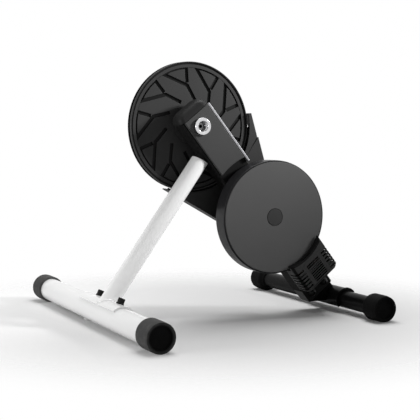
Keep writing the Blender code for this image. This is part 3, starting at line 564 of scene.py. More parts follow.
def legCup(leg, side):
    node = leg + "_cap_" + side
    start, end = ends(node)
    big, length, neck = halfWidth(node), end - start, cups["neck"][leg]
    inner = halfWidth(leg + "_leg_tube") + cups["room"]
    mouth = inner + cups["lip"]
    rim = big - cups["taper"][leg]
    line = [(0, cups["face"]), (rim * 0.700, cups["face"]), (rim * 0.735, cups["face"] - 0.0005),
            (rim * 0.750, 0.0020), (rim * 0.765, 0.0016), (rim * 0.855, 0.0014), (rim * 0.872, 0.0010),
            (rim * 0.884, 0.0002), (rim * 0.900, 0.0), (rim - 0.0011, 0.0), (rim - 0.0003, 0.0004),
            (rim, 0.0012), (big - 0.0001, cups["taperLength"]), (big, cups["taperLength"] + 0.0008)]
    for i in range(7):
        t = i / 6
        ease = t * t * (3 - 2 * t)
        line.append((big + (mouth - big) * ease, length - neck + (neck - 0.0006) * t))
    line += [(mouth - 0.0005, length), (inner, length), (inner, cups["floor"]), (0, cups["floor"])]
    if side == "left":
        place = [(r, start + d) for r, d in line]
    else:
        place = [(r, end - d) for r, d in line]
    cup = turned(leg + "Cup" + side.title(), middle(node), place)
    settle(cup, "frame", "rubber" + leg.title(), [node])


for leg in ("front", "rear"):
    for side in ("left", "right"):
        legCup(leg, side)
print("leg cups made")


# Leg tubes
tubes = {"wall": 0.0020, "edge": 0.0003, "finish": {"front": "white", "rear": "blackPaint"}}
for leg, finish in tubes["finish"].items():
    node = leg + "_leg_tube"
    start, end = ends(node)
    r = halfWidth(node)
    bore = r - tubes["wall"]
    tube = turned(leg + "Tube", middle(node), [(bore, start), (r, start), (r, end), (bore, end)])
    settle(tube, "frame", finish, [node], tubes["edge"])
print("leg tubes made")


# Large pulley: a thin lip, a groove painted dark as shade and a flush ring round the face plate, then the
# belt's seat
disc = {"bore": 0.0145, "hub": 0.0300, "hubFace": 0.0015, "plateFloor": 0.0070, "plateRoom": 0.0104,
        "ring": 0.0022, "step": 0.0048, "groove": 0.0031, "lip": 0.0016, "seat": 0.0060,
        "seatStart": 0.0042, "thick": 0.0140, "web": 0.0100, "sleeve": 0.0290, "round": 160}
discR = halfWidth("large_pulley")
a, end = ends("large_pulley")
b = a + disc["thick"]
ring, groove, lip, step = a + disc["ring"], a + disc["groove"], discR - disc["lip"], discR - disc["step"]
plate, seat, hub, bore = discR - disc["plateRoom"], discR - disc["seat"], disc["hub"], disc["bore"]
web, sleeve = a + disc["web"], disc["sleeve"]
pulley = turned("largePulley", axleAt, [
    (bore, a + disc["hubFace"]), (hub, a + disc["hubFace"]), (hub, a + disc["plateFloor"]),
    (plate, a + disc["plateFloor"]), (plate, ring + 0.0002), (plate + 0.0003, ring), (step - 0.0003, ring),
    (step, ring + 0.0003), (step + 0.0004, groove), (lip - 0.0005, groove), (lip, a + 0.0003),
    (lip + 0.0003, a), (discR - 0.0004, a), (discR, a + 0.0005), (discR, a + disc["seatStart"] - 0.0006),
    (seat, a + disc["seatStart"]), (seat, b - 0.0024), (discR, b - 0.0019), (discR, b - 0.0006),
    (discR - 0.0008, b), (discR - 0.0110, b), (discR - 0.0130, web), (sleeve + 0.0022, web),
    (sleeve, web + 0.0020), (sleeve, end), (bore, end)], disc["round"])
settle(pulley, "pulley", "pulleyRing", ["large_pulley"])


# Face plate of the large pulley, with its pinwheel of wide grooves
pinwheel = {"groups": 10, "first": 22.15, "width": 0.0062, "depth": 0.0030, "bend": 0.635, "foot": 0.400,
            "branch": 0.680, "rim": 0.925, "sweep": 0.72, "notch": 0.0022, "past": 0.003,
            "hub": 0.0303, "edge": 0.0005, "merge": 0.0003}


def outlineCutter(outline, near, far):
    # a filled ring of points at one depth, pulled through to the other
    clearPick()
    bpy.ops.mesh.primitive_circle_add(vertices=len(outline), radius=0.01, fill_type="NGON",
                                      location=(0, 0, 0))
    ob = bpy.context.active_object
    for vertex, (x, z) in zip(ob.data.vertices, outline):
        vertex.co = (x, near, z)
    bpy.ops.object.mode_set(mode="EDIT")
    bpy.ops.mesh.select_all(action="SELECT")
    bpy.ops.mesh.extrude_region_move(TRANSFORM_OT_translate={"value": (0, far - near, 0)})
    faceOut()
    bpy.ops.object.mode_set(mode="OBJECT")
    return ob


def grooveOutline(points, half):
    # both sides of a path, mitred where it bends
    path = [Vector(p) for p in points]
    ways = [(there - here).normalized() for here, there in zip(path, path[1:])]
    left, right = [], []
    for i, point in enumerate(path):
        before, after = ways[max(i - 1, 0)], ways[min(i, len(ways) - 1)]
        way = (before + after).normalized()
        out = half / way.dot(after)
        left.append((point.x - way.y * out, point.y + way.x * out))
        right.append((point.x + way.y * out, point.y - way.x * out))
    return left + right[::-1]


def spot(share, turn):
    # a point of the disc at a share of its radius
    return (axleAt.x + discR * share * cos(turn), axleAt.z + discR * share * sin(turn))


def groovedPlate():
    start, end = ends("pulley_face")
    plateR = halfWidth("pulley_face")
    hub = pinwheel["hub"]
    plate = turned("pulleyPlate", axleAt, [(hub, start), (plateR, start), (plateR, end), (hub, end)],
                   disc["round"])
    group = 2 * pi / pinwheel["groups"]
    half, near, far = pinwheel["width"] / 2, start - pinwheel["past"], start + pinwheel["depth"]
    foot, bend, rim = pinwheel["foot"], pinwheel["bend"], pinwheel["rim"]
    turn = radians(pinwheel["first"])
    last = turn + group * pinwheel["sweep"]
    long = [spot(foot, turn - group * 0.5), spot(bend, turn), spot(rim, last)]
    short = [spot(pinwheel["branch"], turn), spot(rim, turn)]
    cuts = [outlineCutter(grooveOutline(path, half), near, far) for path in (long, short)]
    turns = [turn + (last - turn) * i / 3 for i in range(4)]
    arc = [spot((plateR - pinwheel["notch"]) / discR, t) for t in turns]
    arc += [spot((plateR + pinwheel["past"]) / discR, t) for t in turns[::-1]]
    cuts.append(outlineCutter(arc, near, far + 0.0002))
    groups = [joined(cuts)]
    placeInMesh(groups[0])
    for k in range(1, pinwheel["groups"]):
        twin = another(groups[0], "grooveGroup%d" % k, Vector())
        spin = Matrix.Rotation(-group * k, 4, "Y")
        twin.matrix_world = Matrix.Translation(axleAt) @ spin @ Matrix.Translation(-axleAt)
        groups.append(twin)
    cutter = joined(groups)
    placeInMesh(cutter)
    hollowed(plate, cutter, True)
    settle(plate, "pulley", "pulleyBlack", ["pulley_face"], pinwheel["edge"], 40, pinwheel["merge"])


groovedPlate()
print("belt drive discs made")


# Flywheel: rim, face plate and centre cap
fly = {"bore": 0.0078, "hub": 0.0240, "hubDeep": 0.0150, "dish": 0.0110, "dishEdge": 0.0240,
       "rimInside": 0.0190, "seat": 0.0046, "gap": 0.0003, "backHub": 0.0230, "backDish": 0.0100,
       "backRim": 0.0180,
       "plateBore": 0.0156, "plateRim": 0.0034, "plateBack": 0.0043, "plateTaper": 0.0180,
       "cap": 0.0152, "round": 192}
big = halfWidth("flywheel")
plateR = halfWidth("flywheel_face")
a = ends("flywheel_face")[0]
b = ends("flywheel")[1]
bore, edge, seat = fly["bore"], plateR + fly["gap"], a + fly["seat"]
hubR, dish, backDish = fly["backHub"], a + fly["dish"], b - fly["backDish"]
wheel = turned("flywheelRim", flyAt, [
    (bore, a + fly["hubDeep"] + 0.0010), (fly["hub"], a + fly["hubDeep"]), (fly["hub"] + 0.0035, dish),
    (big - fly["dishEdge"], dish), (big - fly["rimInside"], seat), (edge, seat), (edge, a + 0.0010),
    (edge + 0.0004, a + 0.0006), (big - 0.0014, a + 0.0008), (big - 0.0006, a + 0.0012),
    (big - 0.0001, a + 0.0019), (big, a + 0.0026), (big, b - 0.0024), (big - 0.0005, b - 0.0009),
    (big - 0.0016, b), (big - fly["backRim"], b), (big - fly["backRim"] - 0.0050, backDish),
    (hubR + 0.0030, backDish), (hubR, b), (bore, b)], fly["round"])
settle(wheel, "flywheel", "iron", ["flywheel"])
bore = fly["plateBore"]
plate = turned("flywheelPlate", flyAt, [
    (bore, a + 0.0006), (bore + 0.0006, a), (plateR - 0.0012, a), (plateR - 0.0004, a + 0.0003),
    (plateR, a + 0.0010), (plateR, a + fly["plateRim"]), (plateR - fly["plateTaper"], a + fly["plateBack"]),
    (bore, a + fly["plateBack"])], fly["round"])
settle(plate, "flywheel", "discBlack", ["flywheel_face"])
a, b = ends("flywheel_centre_cap")
r = fly["cap"]
cap = turned("flywheelCap", flyAt, [
    (0, a), (r - 0.0012, a), (r - 0.0004, a + 0.0002), (r, a + 0.0008), (r, b), (0, b)], 72)
settle(cap, "flywheel", "capBlack", ["flywheel_centre_cap"])
print("flywheel made")


# Moulded, cast and welded pieces that keep the CAD's shape and get soft edges
softened = {
    "guardShell": ("belt_guard_shell", "guard", 0.0005), "guardTop": ("belt_guard_fender", "guard", 0.0005),
    "brakeBack": ("brake_housing_back", "backPlasticShaded", 0.0005),
    "brakeFront": ("brake_housing_front", "housing", 0.0004), "armBeam": ("arm_beam", "armPaint", 0.0012),
    "armCover": ("arm_cover", "plasticFine", 0.0004), "headCap": ("arm_end_cap", "headPlastic", 0.0010),
    "trimStrip": ("arm_trim_strip", "trim", 0.0003), "strutTube": ("strut", "strutWhiteLit", 0.0006),
    "strutPlug": ("strut_plug", "armPaint", 0.0006), "frontSaddle": ("front_saddle", "white", 0.0007),
    "rearSaddle": ("rear_saddle", "blackPaint", 0.0006),
    "rearBracket": ("rear_bracket", "blackPaint", 0.0006), "footPad": ("front_foot_pad", "grey", 0.0008),
    "brakeCore": ("brake_core", "core", 0.0003), "cassetteBody": ("freehub_body", "darkSteel", 0.0003)}
rides = {"cassetteBody": "freehub"}
merges = {"brakeFront": 0.00015}
for name, (node, finish, edge) in softened.items():
    piece = refined(node, name)
    settle(piece, rides.get(name, "frame"), finish, [node], edge, merge=merges.get(name, 0.0))
print("soft edges on", len(softened), "pieces")


# Drive side cover of the guard: a raised border round a recessed panel
cover = {"border": 0.0085, "sink": 0.0007, "edge": 0.0004, "thick": 0.0034}
lid = refined("belt_guard_cover", "guardCover")
outer = ends("belt_guard_cover")[1] - cover["thick"]
pickOnly(lid)
bpy.ops.object.mode_set(mode="EDIT")
mesh = bmesh.from_edit_mesh(lid.data)
for face in mesh.faces:
    face.select = face.normal.y > 0.999 and abs(face.calc_center_median().y - outer) < 0.0008
bmesh.update_edit_mesh(lid.data)
bpy.ops.mesh.inset(thickness=cover["border"], depth=0, use_even_offset=True)
bpy.ops.mesh.inset(thickness=cover["sink"], depth=-cover["sink"], use_even_offset=True)
bpy.ops.object.mode_set(mode="OBJECT")
settle(lid, "frame", "guard", ["belt_guard_cover"], cover["edge"])


# Screws along the cover's border
coverScrew = {"radius": 0.0034, "head": 0.0014, "socket": 0.0020, "deep": 0.0010, "inset": 0.0115,
              "pulleyTurns": (70, 125, 180, 235, 290), "flyRadius": 0.0400, "flyTurns": (50, -50)}


def coverSpot(centre, radius, degrees):
    t = radians(degrees)
    return centre + (armDown * cos(t) + armSide * sin(t)) * radius


def coverScrews():
    flatY = max(v.co.y for v in lid.data.vertices if hypot(v.co.x - axleAt.x, v.co.z - axleAt.z) > 0.05)
    ring = halfWidth("large_pulley") - coverScrew["inset"]
    spots = [coverSpot(axleAt, ring, t) for t in coverScrew["pulleyTurns"]]
    spots += [coverSpot(flyAt, coverScrew["flyRadius"], t) for t in coverScrew["flyTurns"]]
    w, h, deep = coverScrew["radius"], coverScrew["head"], coverScrew["deep"]
    first = turned("coverScrew1", spots[0], [
        (0, flatY - 0.0010), (w * 0.5, flatY - 0.0010), (w * 0.5, flatY), (w, flatY), (w, flatY + h * 0.45),
        (w * 0.86, flatY + h * 0.80), (w * 0.60, flatY + h), (0, flatY + h)], 40)
    cutSocket(first, (spots[0].x, flatY + h, spots[0].z), axisY, coverScrew["socket"], deep)
    screws = [first]
    for i, place in enumerate(spots[1:]):
        shift = Vector((place.x - spots[0].x, 0, place.z - spots[0].z))
        screws.append(another(first, "coverScrew%d" % (i + 2), shift))
    for screw in screws:
        settle(screw, "frame", "blackMetal")


coverScrews()
print("guard cover made")


# Bright rings that the bicycle frame clamps
adapter = {"bore": 0.0032, "tube": 0.0049, "ring": 0.0153, "ringLong": 0.0053, "mouth": 0.0092,
           "deep": 0.0115, "ridges": 5, "pitch": 0.0013, "narrowing": 0.00008, "body": 0.0109,
           "bodyLong": 0.0145, "rightRing": 0.0122, "rightRingLong": 0.0102, "rightMouth": 0.0062,
           "rightBody": 0.0100, "rightBodyLong": 0.0162}
f, back = ends("dropout_adapter_left")
deep, bore, tube = f + adapter["deep"], adapter["bore"], adapter["tube"]
ring, mouth, body = adapter["ring"], adapter["mouth"], adapter["body"]
shoulder, neck = f + adapter["ringLong"], f + adapter["bodyLong"]
ridges = []
for i in range(adapter["ridges"]):
    y = f + 0.0024 + adapter["pitch"] * i
    r = mouth - adapter["narrowing"] * i
    ridges += [(r, y), (r + 0.0003, y + 0.0003), (r + 0.0003, y + 0.0006), (r - 0.00004, y + 0.0009)]
left = turned("dropoutRingLeft", axleAt, [
    (bore, back), (bore, deep), (0.0066, deep), (0.0086, deep - 0.0026)] + ridges[::-1] + [
    (mouth, f + 0.0010), (mouth + 0.0003, f + 0.0003), (mouth + 0.0008, f), (ring - 0.0012, f),
    (ring - 0.0005, f + 0.0003), (ring, f + 0.0010), (ring, shoulder), (body, shoulder), (body, neck),
    (tube, neck), (tube, back)])
settle(left, "frame", "ring", ["dropout_adapter_left"])
back, f = ends("dropout_adapter_right")
ring, mouth, body = adapter["rightRing"], adapter["rightMouth"], adapter["rightBody"]
shoulder, neck = f - adapter["rightRingLong"], f - adapter["rightBodyLong"]
right = turned("dropoutRingRight", axleAt, [
    (bore, back), (tube, back), (tube, neck), (body, neck), (body, shoulder - 0.0010),
    (ring - 0.0004, shoulder), (ring, shoulder + 0.0006), (ring, f - 0.0012), (ring - 0.0004, f - 0.0003),
    (ring - 0.0012, f), (mouth + 0.0006, f), (mouth + 0.0001, f - 0.0004), (mouth, f - 0.0060),
    (bore, f - 0.0060)])
settle(right, "frame", "chrome", ["dropout_adapter_right"])
print("dropout rings made")


# Dome headed bolts at the arm's foot
footBolt = {"seat": 0.0003, "collar": 0.0012, "turns": (30, 42, 54, 66, 80), "shank": 0.0045,
            "socket": 0.0042, "deep": 0.0030}


def footBolts():
    start, end = ends("arm_bolt_1")
    big = halfWidth("arm_bolt_1")
    centre = middle("arm_bolt_1")
    seat = ends("arm_beam")[0] - footBolt["seat"]
    collar = seat - footBolt["collar"]
    dome = [(0, start), (big * 0.30, start), (big * 0.36, start + 0.0002)]
    dome += [(big * sin(radians(t)), collar - (collar - start) * cos(radians(t))) for t in footBolt["turns"]]
    first = turned("footBolt1", centre, dome + [
        (big * 0.995, seat - 0.0014), (big * 0.955, seat - 0.0010), (big, seat - 0.0006), (big, seat),
        (footBolt["shank"], seat), (footBolt["shank"], end), (0, end)], 56)
    cutSocket(first, (centre.x, start, centre.z), axisY, footBolt["socket"], footBolt["deep"])
    second = another(first, "footBolt2", middle("arm_bolt_2") - centre)
    settle(first, "frame", "screwBlack", ["arm_bolt_1"])
    settle(second, "frame", "screwBlack", ["arm_bolt_2"])


footBolts()
print("foot bolts made")


# The front saddle is a half sleeve round the front tube
sleeve = {"room": 0.0003, "wall": 0.0030}
sleeveR = halfWidth("front_leg_tube") + sleeve["room"] + sleeve["wall"]
tubeAt = middle("front_leg_tube")

# Socket screws that hold the saddle to the front tube
saddleScrew = {"lean": 66.0, "gap": 0.0003, "sink": 0.0008, "head": 0.0108, "wide": 0.0070, "top": 0.0058,
               "shank": 0.0038, "long": 0.0122, "socket": 0.0060, "deep": 0.0045}


def saddleScrews():
    lean = Vector((cos(radians(saddleScrew["lean"])), 0, sin(radians(saddleScrew["lean"]))))
    sit = sleeveR + saddleScrew["gap"] - saddleScrew["sink"]
    first, second = middle("front_saddle_bolt_1").y, middle("front_saddle_bolt_2").y
    foot = Vector((tubeAt.x, first, tubeAt.z)) + lean * sit
    w, t, h = saddleScrew["wide"], saddleScrew["top"], saddleScrew["head"]
    shank, long = saddleScrew["shank"], saddleScrew["long"]
    screw = turned("saddleScrew1", (0, 0, 0), [
        (0, -long), (shank - 0.0008, -long), (shank, 0.0008 - long), (shank, 0.0), (w - 0.0003, 0.0),
        (w, 0.0004), (w - 0.0001, 0.0022), (w - 0.0008, 0.0026), (t + 0.0004, h - 0.0016),
        (t, h - 0.0006), (t - 0.0007, h), (0, h)], 60)
    screw.rotation_euler = lean.to_track_quat("Y", "Z").to_euler()
    screw.location = foot
    placeInMesh(screw)
    cutSocket(screw, foot + lean * h, lean, saddleScrew["socket"], saddleScrew["deep"])
    twin = another(screw, "saddleScrew2", Vector((0, second - first, 0)))
    settle(screw, "frame", "screwBlack", ["front_saddle_bolt_1"])
    settle(twin, "frame", "screwBlack", ["front_saddle_bolt_2"])


saddleScrews()
print("saddle screws made")


# Weld bead where the strut stands on its saddle
weld = {"lean": 54.11, "behind": 0.0085, "strut": 0.0158, "sink": 0.0003, "size": 0.0024, "tall": 1.25,
        "ripple": 0.05, "ripples": 52, "points": 12}


def strutBead():
    along = Vector((cos(radians(weld["lean"])), 0, sin(radians(weld["lean"]))))
    aside = Vector((-along.z, 0, along.x))
    foot = Vector((tubeAt.x - weld["behind"], middle("strut").y, tubeAt.z))
    turns = [2 * pi * i / weld["points"] for i in range(weld["points"])]
    line = [(weld["strut"] + weld["sink"] + weld["size"] * cos(t), weld["size"] * weld["tall"] * sin(t))
            for t in turns]
    bead = turned("strutWeld", (0, 0, 0), line, 144)
    offset = foot - tubeAt
    ahead, beside = offset.dot(along), offset.dot(aside)
    for v in bead.data.vertices:
        # each point of the bead moves up the strut to where it meets the sleeve
        r = hypot(v.co.x, v.co.z)
        b, a = v.co.x / r, v.co.z / r
        up = sqrt(sleeveR ** 2 - (beside + weld["strut"] * b) ** 2) - ahead
        ripple = 1 + weld["ripple"] * sin(weld["ripples"] * atan2(a, b))
        r = weld["strut"] + (r - weld["strut"]) * ripple
        v.co = foot + along * (up + v.co.y) + (axisY * a + aside * b) * r
    pickOnly(bead)
    bpy.ops.object.mode_set(mode="EDIT")
    faceOut()
    bpy.ops.object.mode_set(mode="OBJECT")
    settle(bead, "frame", "white")


strutBead()
print("weld made")


# Belt round both pulleys, standing still while they turn inside it
belt = {"inner": 0.1093, "small": 0.0188, "thick": 0.0034, "room": 0.0045, "edge": 0.0004}


def beltArc(centre, radius, start, turn, steps):
    turns = [start + turn * i / steps for i in range(steps + 1)]
    return [centre + (armDown * cos(t) + armSide * sin(t)) * radius for t in turns]


def driveBelt():
    start = ends("large_pulley")[0] + belt["room"]
    end = ends("drive_belt")[1]
    slope = asin((belt["inner"] - belt["small"]) / span)
    route = beltArc(axleAt, belt["inner"], pi / 2 - slope, pi + 2 * slope, 120)
    route += beltArc(flyAt, belt["small"], slope - pi / 2, pi - 2 * slope, 40)
    pulls = [(there.x - here.x, 0, there.z - here.z) for here, there in zip(route, route[1:] + route[:1])]
    loop = lineFrom("driveBelt", (route[0].x, start, route[0].z), pulls)
    bpy.ops.mesh.remove_doubles(threshold=0.00001)
    bpy.ops.mesh.select_all(action="SELECT")
    bpy.ops.mesh.extrude_region_move(TRANSFORM_OT_translate={"value": (0, end - start, 0)})
    faceOut()
    bpy.ops.object.mode_set(mode="OBJECT")
    modify(loop, "SOLIDIFY", thickness=belt["thick"], offset=1.0, use_even_offset=True)
    settle(loop, "frame", "belt", ["drive_belt"], belt["edge"])


driveBelt()
print("belt made")


# Small pulley with the belt's ribs
rib = {"count": 4, "deep": 0.0013, "seat": 0.0045, "margin": 0.0027, "bore": 0.0078, "hub": 0.0150,
       "recess": 0.0190}
a, b = ends("small_pulley")
big = halfWidth("small_pulley")
seat, hub, recessR = big - rib["seat"], rib["hub"], rib["recess"]
step = (b - a - 2 * rib["margin"]) / rib["count"]
ribs = []
for i in range(rib["count"]):
    y = a + rib["margin"] + step * i
    ribs += [(seat, y), (seat, y + step * 0.22), (seat - rib["deep"], y + step * 0.46),
             (seat - rib["deep"], y + step * 0.60), (seat, y + step * 0.84)]
small = turned("smallPulley", flyAt, [
    (rib["bore"], a), (hub, a), (hub, a + 0.0010), (recessR, a + 0.0010), (recessR, a), (big - 0.0004, a),
    (big, a + 0.0004), (big, a + 0.0013), (seat, a + 0.0022)] + ribs + [
    (seat, b - 0.0024), (big, b - 0.0016), (big, b - 0.0004), (big - 0.0004, b), (rib["bore"], b)])
settle(small, "flywheel", "steelFly", ["small_pulley"])
print("small pulley made")


# Bearings, each an inner race, a seal and an outer race
bearing = {"hubBore": 0.0076, "flyBore": 0.0078, "inner": 0.26, "outer": 0.24, "seal": 0.0005,
           "bodies": {"hub_bearing_left": "pulley", "hub_bearing_right": "pulley",
                      "freehub_bearing": "freehub", "flywheel_bearing_left": "frame",
                      "flywheel_bearing_right": "frame"}}
for node, body in bearing["bodies"].items():
    onFly = body == "frame"
    centre, bore = (flyAt, bearing["flyBore"]) if onFly else (axleAt, bearing["hubBore"])
    big = halfWidth(node)
    a, b = ends(node)
    race = bore + (big - bore) * bearing["inner"]
    outer = big - (big - bore) * bearing["outer"]
    half = [(bore, 0.0003), (bore + 0.0003, 0.0), (race, 0.0), (race + 0.0002, bearing["seal"]),
            (outer - 0.0002, bearing["seal"]), (outer, 0.0), (big - 0.0003, 0.0), (big, 0.0003)]
    line = [(r, a + d) for r, d in half] + [(r, b - d) for r, d in half[::-1]]
    piece = turned(node.replace("_", " ").title().replace(" ", ""), centre, line, 72)
    settle(piece, body, "steelFly" if onFly else "steel", [node])
print("bearings made")


# Axle tube, with a groove near its left end and threads on its right end
axle = {"bore": 0.0052, "radius": 0.0073, "groove": 0.0200, "threads": 11, "pitch": 0.0008, "root": 0.0003,
        "threadStart": 0.0110}
a, b = ends("axle")
bore, r, g, thread = axle["bore"], axle["radius"], a + axle["groove"], b - axle["threadStart"]
turns = [(r - axle["root"] * (i % 2), thread + axle["pitch"] * i) for i in range(1, axle["threads"] + 1)]
hub = turned("axleTube", axleAt, [
    (bore, a + 0.0004), (bore + 0.0004, a), (r - 0.0004, a), (r, a + 0.0004), (r, g),
    (r - 0.0002, g + 0.0003), (r - 0.0002, g + 0.0015), (r, g + 0.0018), (r, thread)] + turns + [
    (r, b - 0.0006), (r - 0.0004, b), (bore + 0.0004, b), (bore, b - 0.0004)], 72)
settle(hub, "frame", "steel", ["axle"])

# Boss that holds the axle in the arm's head
boss = {"mouth": 0.0112, "sleeve": 0.0150, "flange": 0.0185, "bore": 0.0076}
front, back = ends("axle_boss")
beam, stop = ends("arm_beam")[0], ends("axle")[0]
mouth, out, flange, bore = boss["mouth"], boss["sleeve"], boss["flange"], boss["bore"]
piece = turned("axleBoss", axleAt, [
    (mouth, front + 0.0004), (mouth + 0.0004, front), (out - 0.0004, front), (out, front + 0.0004),
    (out, beam + 0.0002), (out + 0.0003, beam + 0.0005), (flange - 0.0004, beam + 0.0008),
    (flange, beam + 0.0012), (flange, back - 0.0008), (flange - 0.0008, back), (bore + 0.0006, back),
    (bore, back - 0.0006), (bore, stop), (mouth, stop)])
settle(piece, "frame", "steel", ["axle_boss"])

# Flywheel shaft, with a groove, a smaller seat for the pulley and a centre hole
shaft = {"radius": 0.0075, "seat": 0.0073, "groove": 0.0250, "seatLong": 0.0130, "centre": 0.0022}
a, b = ends("flywheel_shaft")
r, seat, centre = shaft["radius"], shaft["seat"], shaft["centre"]
g, s = a + shaft["groove"], b - shaft["seatLong"]
piece = turned("flywheelShaft", flyAt, [
    (0, a), (r - 0.0009, a), (r, a + 0.0008), (r, g), (r - 0.0003, g + 0.0003), (r - 0.0003, g + 0.0015),
    (r, g + 0.0018), (r, s), (seat, s + 0.0002), (seat, b - 0.0006), (seat - 0.0006, b), (centre, b),
    (centre - 0.0010, b - 0.0010), (0, b - 0.0016)], 72)
settle(piece, "flywheel", "steelFly", ["flywheel_shaft"])

# Bearing block of the flywheel, waisted between its two seats
block = {"bore": 0.0152, "radius": 0.0220, "waist": 0.0216, "seat": 0.0080}
a, b = ends("bearing_block")
bore, r = block["bore"], block["radius"]
half = [(bore, 0.0008), (bore + 0.0008, 0.0), (r - 0.0008, 0.0), (r, 0.0008), (r, block["seat"]),
        (block["waist"], block["seat"] + 0.0006)]
line = [(r, a + d) for r, d in half] + [(r, b - d) for r, d in half[::-1]]
piece = turned("bearingBlock", flyAt, line)
settle(piece, "frame", "steelFly", ["bearing_block"])
print("shafts made")


# Round power socket with its centre pin, on the hidden side of the brake
inlet = {"radius": 0.0049, "bore": 0.0030, "deep": 0.0062, "pin": 0.0010, "long": 0.0110}
w, c, pin, long = inlet["radius"], inlet["bore"], inlet["pin"], inlet["long"]
socket = turned("powerInlet", (0, 0, 0), [
    (0, 0.0004 - long), (0.0004, -long), (w - 0.0004, -long), (w, 0.0004 - long), (w, -0.0004),
    (w - 0.0004, 0), (c + 0.0004, 0), (c, -0.0004), (c, -inlet["deep"]), (pin, -inlet["deep"]),
    (pin, -0.0018), (pin * 0.5, -0.0012), (0, -0.0011)], 56)
socket.rotation_euler = armSide.to_track_quat("Y", "Z").to_euler()
socket.location = middle("power_inlet") + armSide * (long / 2)
settle(socket, "frame", "plastic", ["power_inlet"])
print("power socket made")


# Brake coils: turns of wire raised and sunk along each pole
coil = {"turns": 13, "wire": 0.00042, "flange": 0.0026}
for letter in "ab":
    node = "brake_coil_" + letter
    winding = refined(node, "brakeCoil" + letter.title())
    pickOnly(winding)
    bpy.ops.object.mode_set(mode="EDIT")
    mesh = bmesh.from_edit_mesh(winding.data)
    heart = sum((v.co for v in mesh.verts), Vector()) / len(mesh.verts)
    radial = Vector((heart.x - flyAt.x, 0, heart.z - flyAt.z)).normalized()
    reach = [(v.co - flyAt).dot(radial) for v in mesh.verts]
    near, far = min(reach) + coil["flange"], max(reach) - coil["flange"]
    levels = [near + (far - near) * i / (coil["turns"] * 2) for i in range(coil["turns"] * 2 + 1)]
    for level in levels:
        bmesh.ops.bisect_plane(mesh, geom=mesh.verts[:] + mesh.edges[:] + mesh.faces[:], dist=0.000001,
                               plane_co=flyAt + radial * level, plane_no=radial)
    for level in levels[1::2]:
        for v in mesh.verts:
            if abs((v.co - flyAt).dot(radial) - level) < 0.00001 and abs(v.normal.dot(radial)) < 0.5:
                v.co = v.co - v.normal * coil["wire"] * 0.5
    bmesh.update_edit_mesh(winding.data)
    bpy.ops.object.mode_set(mode="OBJECT")
    settle(winding, "frame", "copper", [node])
print("coils made")


# Control board with its parts on the side towards the core: across, along, length, width, height
board = {"thick": 0.0016, "sink": 0.0002, "edge": 0.0002, "chipEdge": 0.0003, "parts": [
    (-0.020, -0.0070, 0.012, 0.009, 0.0022), (0.004, -0.0060, 0.009, 0.009, 0.0018),
    (0.018, 0.0050, 0.008, 0.006, 0.0030), (-0.006, 0.0080, 0.014, 0.005, 0.0020)]}
panel = refined("control_board", "controlBoard")
boardTurn = Matrix((armSide, axisY, armDown)).transposed().to_euler()
chips = []
for across, along, long, wide, tall in board["parts"]:
    lift = board["thick"] / 2 + tall / 2 - board["sink"]
    clearPick()
    bpy.ops.mesh.primitive_cube_add(
        size=1, location=middle("control_board") + armSide * across + axisY * along - armDown * lift)
    chip = bpy.context.active_object
    chip.scale = (long, wide, tall)
    chip.rotation_euler = boardTurn
    placeInMesh(chip)
    modify(chip, "BEVEL", width=board["chipEdge"], segments=2)
    chips.append(chip)
panel = joined([panel] + chips)
settle(panel, "frame", "board", ["control_board"], board["edge"])
print("board made")


# Studio: pale floor, white behind, one key lamp and two soft lamps
studio = {"ambient": 0.14, "floorLevel": 0.80, "floorShadow": 0.80, "floorFade": (0.26, 0.64),
          "key": {"place": (1.35, -0.92, 1.00), "aim": (0.05, -0.05, 0.40), "cone": 24, "radius": 0.18,
                  "power": 225},
          "lampAim": (0.0, -0.05, 0.15),
          "lamps": [("left", (-2.0, -0.14, 0.26), 0.6, 18), ("top", (0.22, 0.25, 1.7), 1.1, 25)]}


def hang(data, place, aim):
    lamp = bpy.data.objects.new(data.name, data)
    lamp.location = place
    lamp.rotation_euler = (Vector(aim) - Vector(place)).to_track_quat("-Z", "Y").to_euler()
    bpy.context.scene.collection.objects.link(lamp)


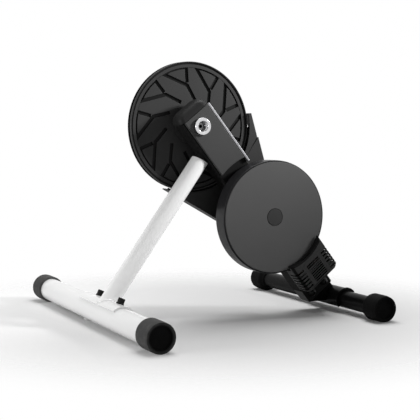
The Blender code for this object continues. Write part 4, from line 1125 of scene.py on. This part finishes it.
def setLamps():
    for name, place, size, power in studio["lamps"]:
        data = bpy.data.lights.new(name, "AREA")
        data.shape, data.size, data.energy = "SQUARE", size, power
        hang(data, place, studio["lampAim"])
    key = studio["key"]
    data = bpy.data.lights.new("key", "SPOT")
    data.spot_size, data.spot_blend = radians(key["cone"]), 1.0
    data.shadow_soft_size, data.energy = key["radius"], key["power"]
    hang(data, key["place"], key["aim"])


def setBackground():
    # white to the camera and in reflections, a low even light on everything else
    world = bpy.data.worlds.new("studio")
    bpy.context.scene.world = world
    world.use_nodes = True
    tree = world.node_tree
    back = tree.nodes["Background"]
    path = tree.nodes.new("ShaderNodeLightPath")
    rays = [Wire(tree, path.outputs["Is %s Ray" % kind]) for kind in ("Camera", "Glossy", "Transmission")]
    seen = rays[0].maths("MAXIMUM", rays[0].maths("MAXIMUM", rays[0], rays[1]), rays[2])
    strength = studio["ambient"] + (1.0 - studio["ambient"]) * seen
    back.inputs["Color"].default_value = (1, 1, 1, 1)
    tree.links.new(strength.socket, back.inputs["Strength"])


def setFloor():
    # a paper disc that fades out towards its rim, with a painted shadow that darkens it towards its centre
    bpy.ops.mesh.primitive_circle_add(vertices=96, radius=3.0, fill_type="NGON", location=(0, 0, 0))
    floor = bpy.context.active_object
    floor.name = "floor"
    material, shader, p = startFinish("floorPaper")
    tree = material.node_tree
    level = studio["floorLevel"]
    r = p.make("ShaderNodeVectorMath", {"operation": "LENGTH"}, {0: p}, out=1)
    paper = between(noise(p, 3, 3), shade(level), shade(level + 0.02))
    # painted shadow: the floor turns darker towards the object
    colour = between(rise(r, 0.0, 0.50), shade(level * studio["floorShadow"]), paper)
    shader.inputs["Roughness"].default_value = 0.9
    clear = tree.nodes.new("ShaderNodeBsdfTransparent")
    mix = tree.nodes.new("ShaderNodeMixShader")
    tree.links.new(colour.socket, shader.inputs["Base Color"])
    tree.links.new(rise(r, *studio["floorFade"]).socket, mix.inputs[0])
    tree.links.new(shader.outputs[0], mix.inputs[1])
    tree.links.new(clear.outputs[0], mix.inputs[2])
    tree.links.new(mix.outputs[0], tree.nodes["Material Output"].inputs["Surface"])
    floor.data.materials.append(material)


setBackground()
setLamps()
setFloor()
print("studio set")
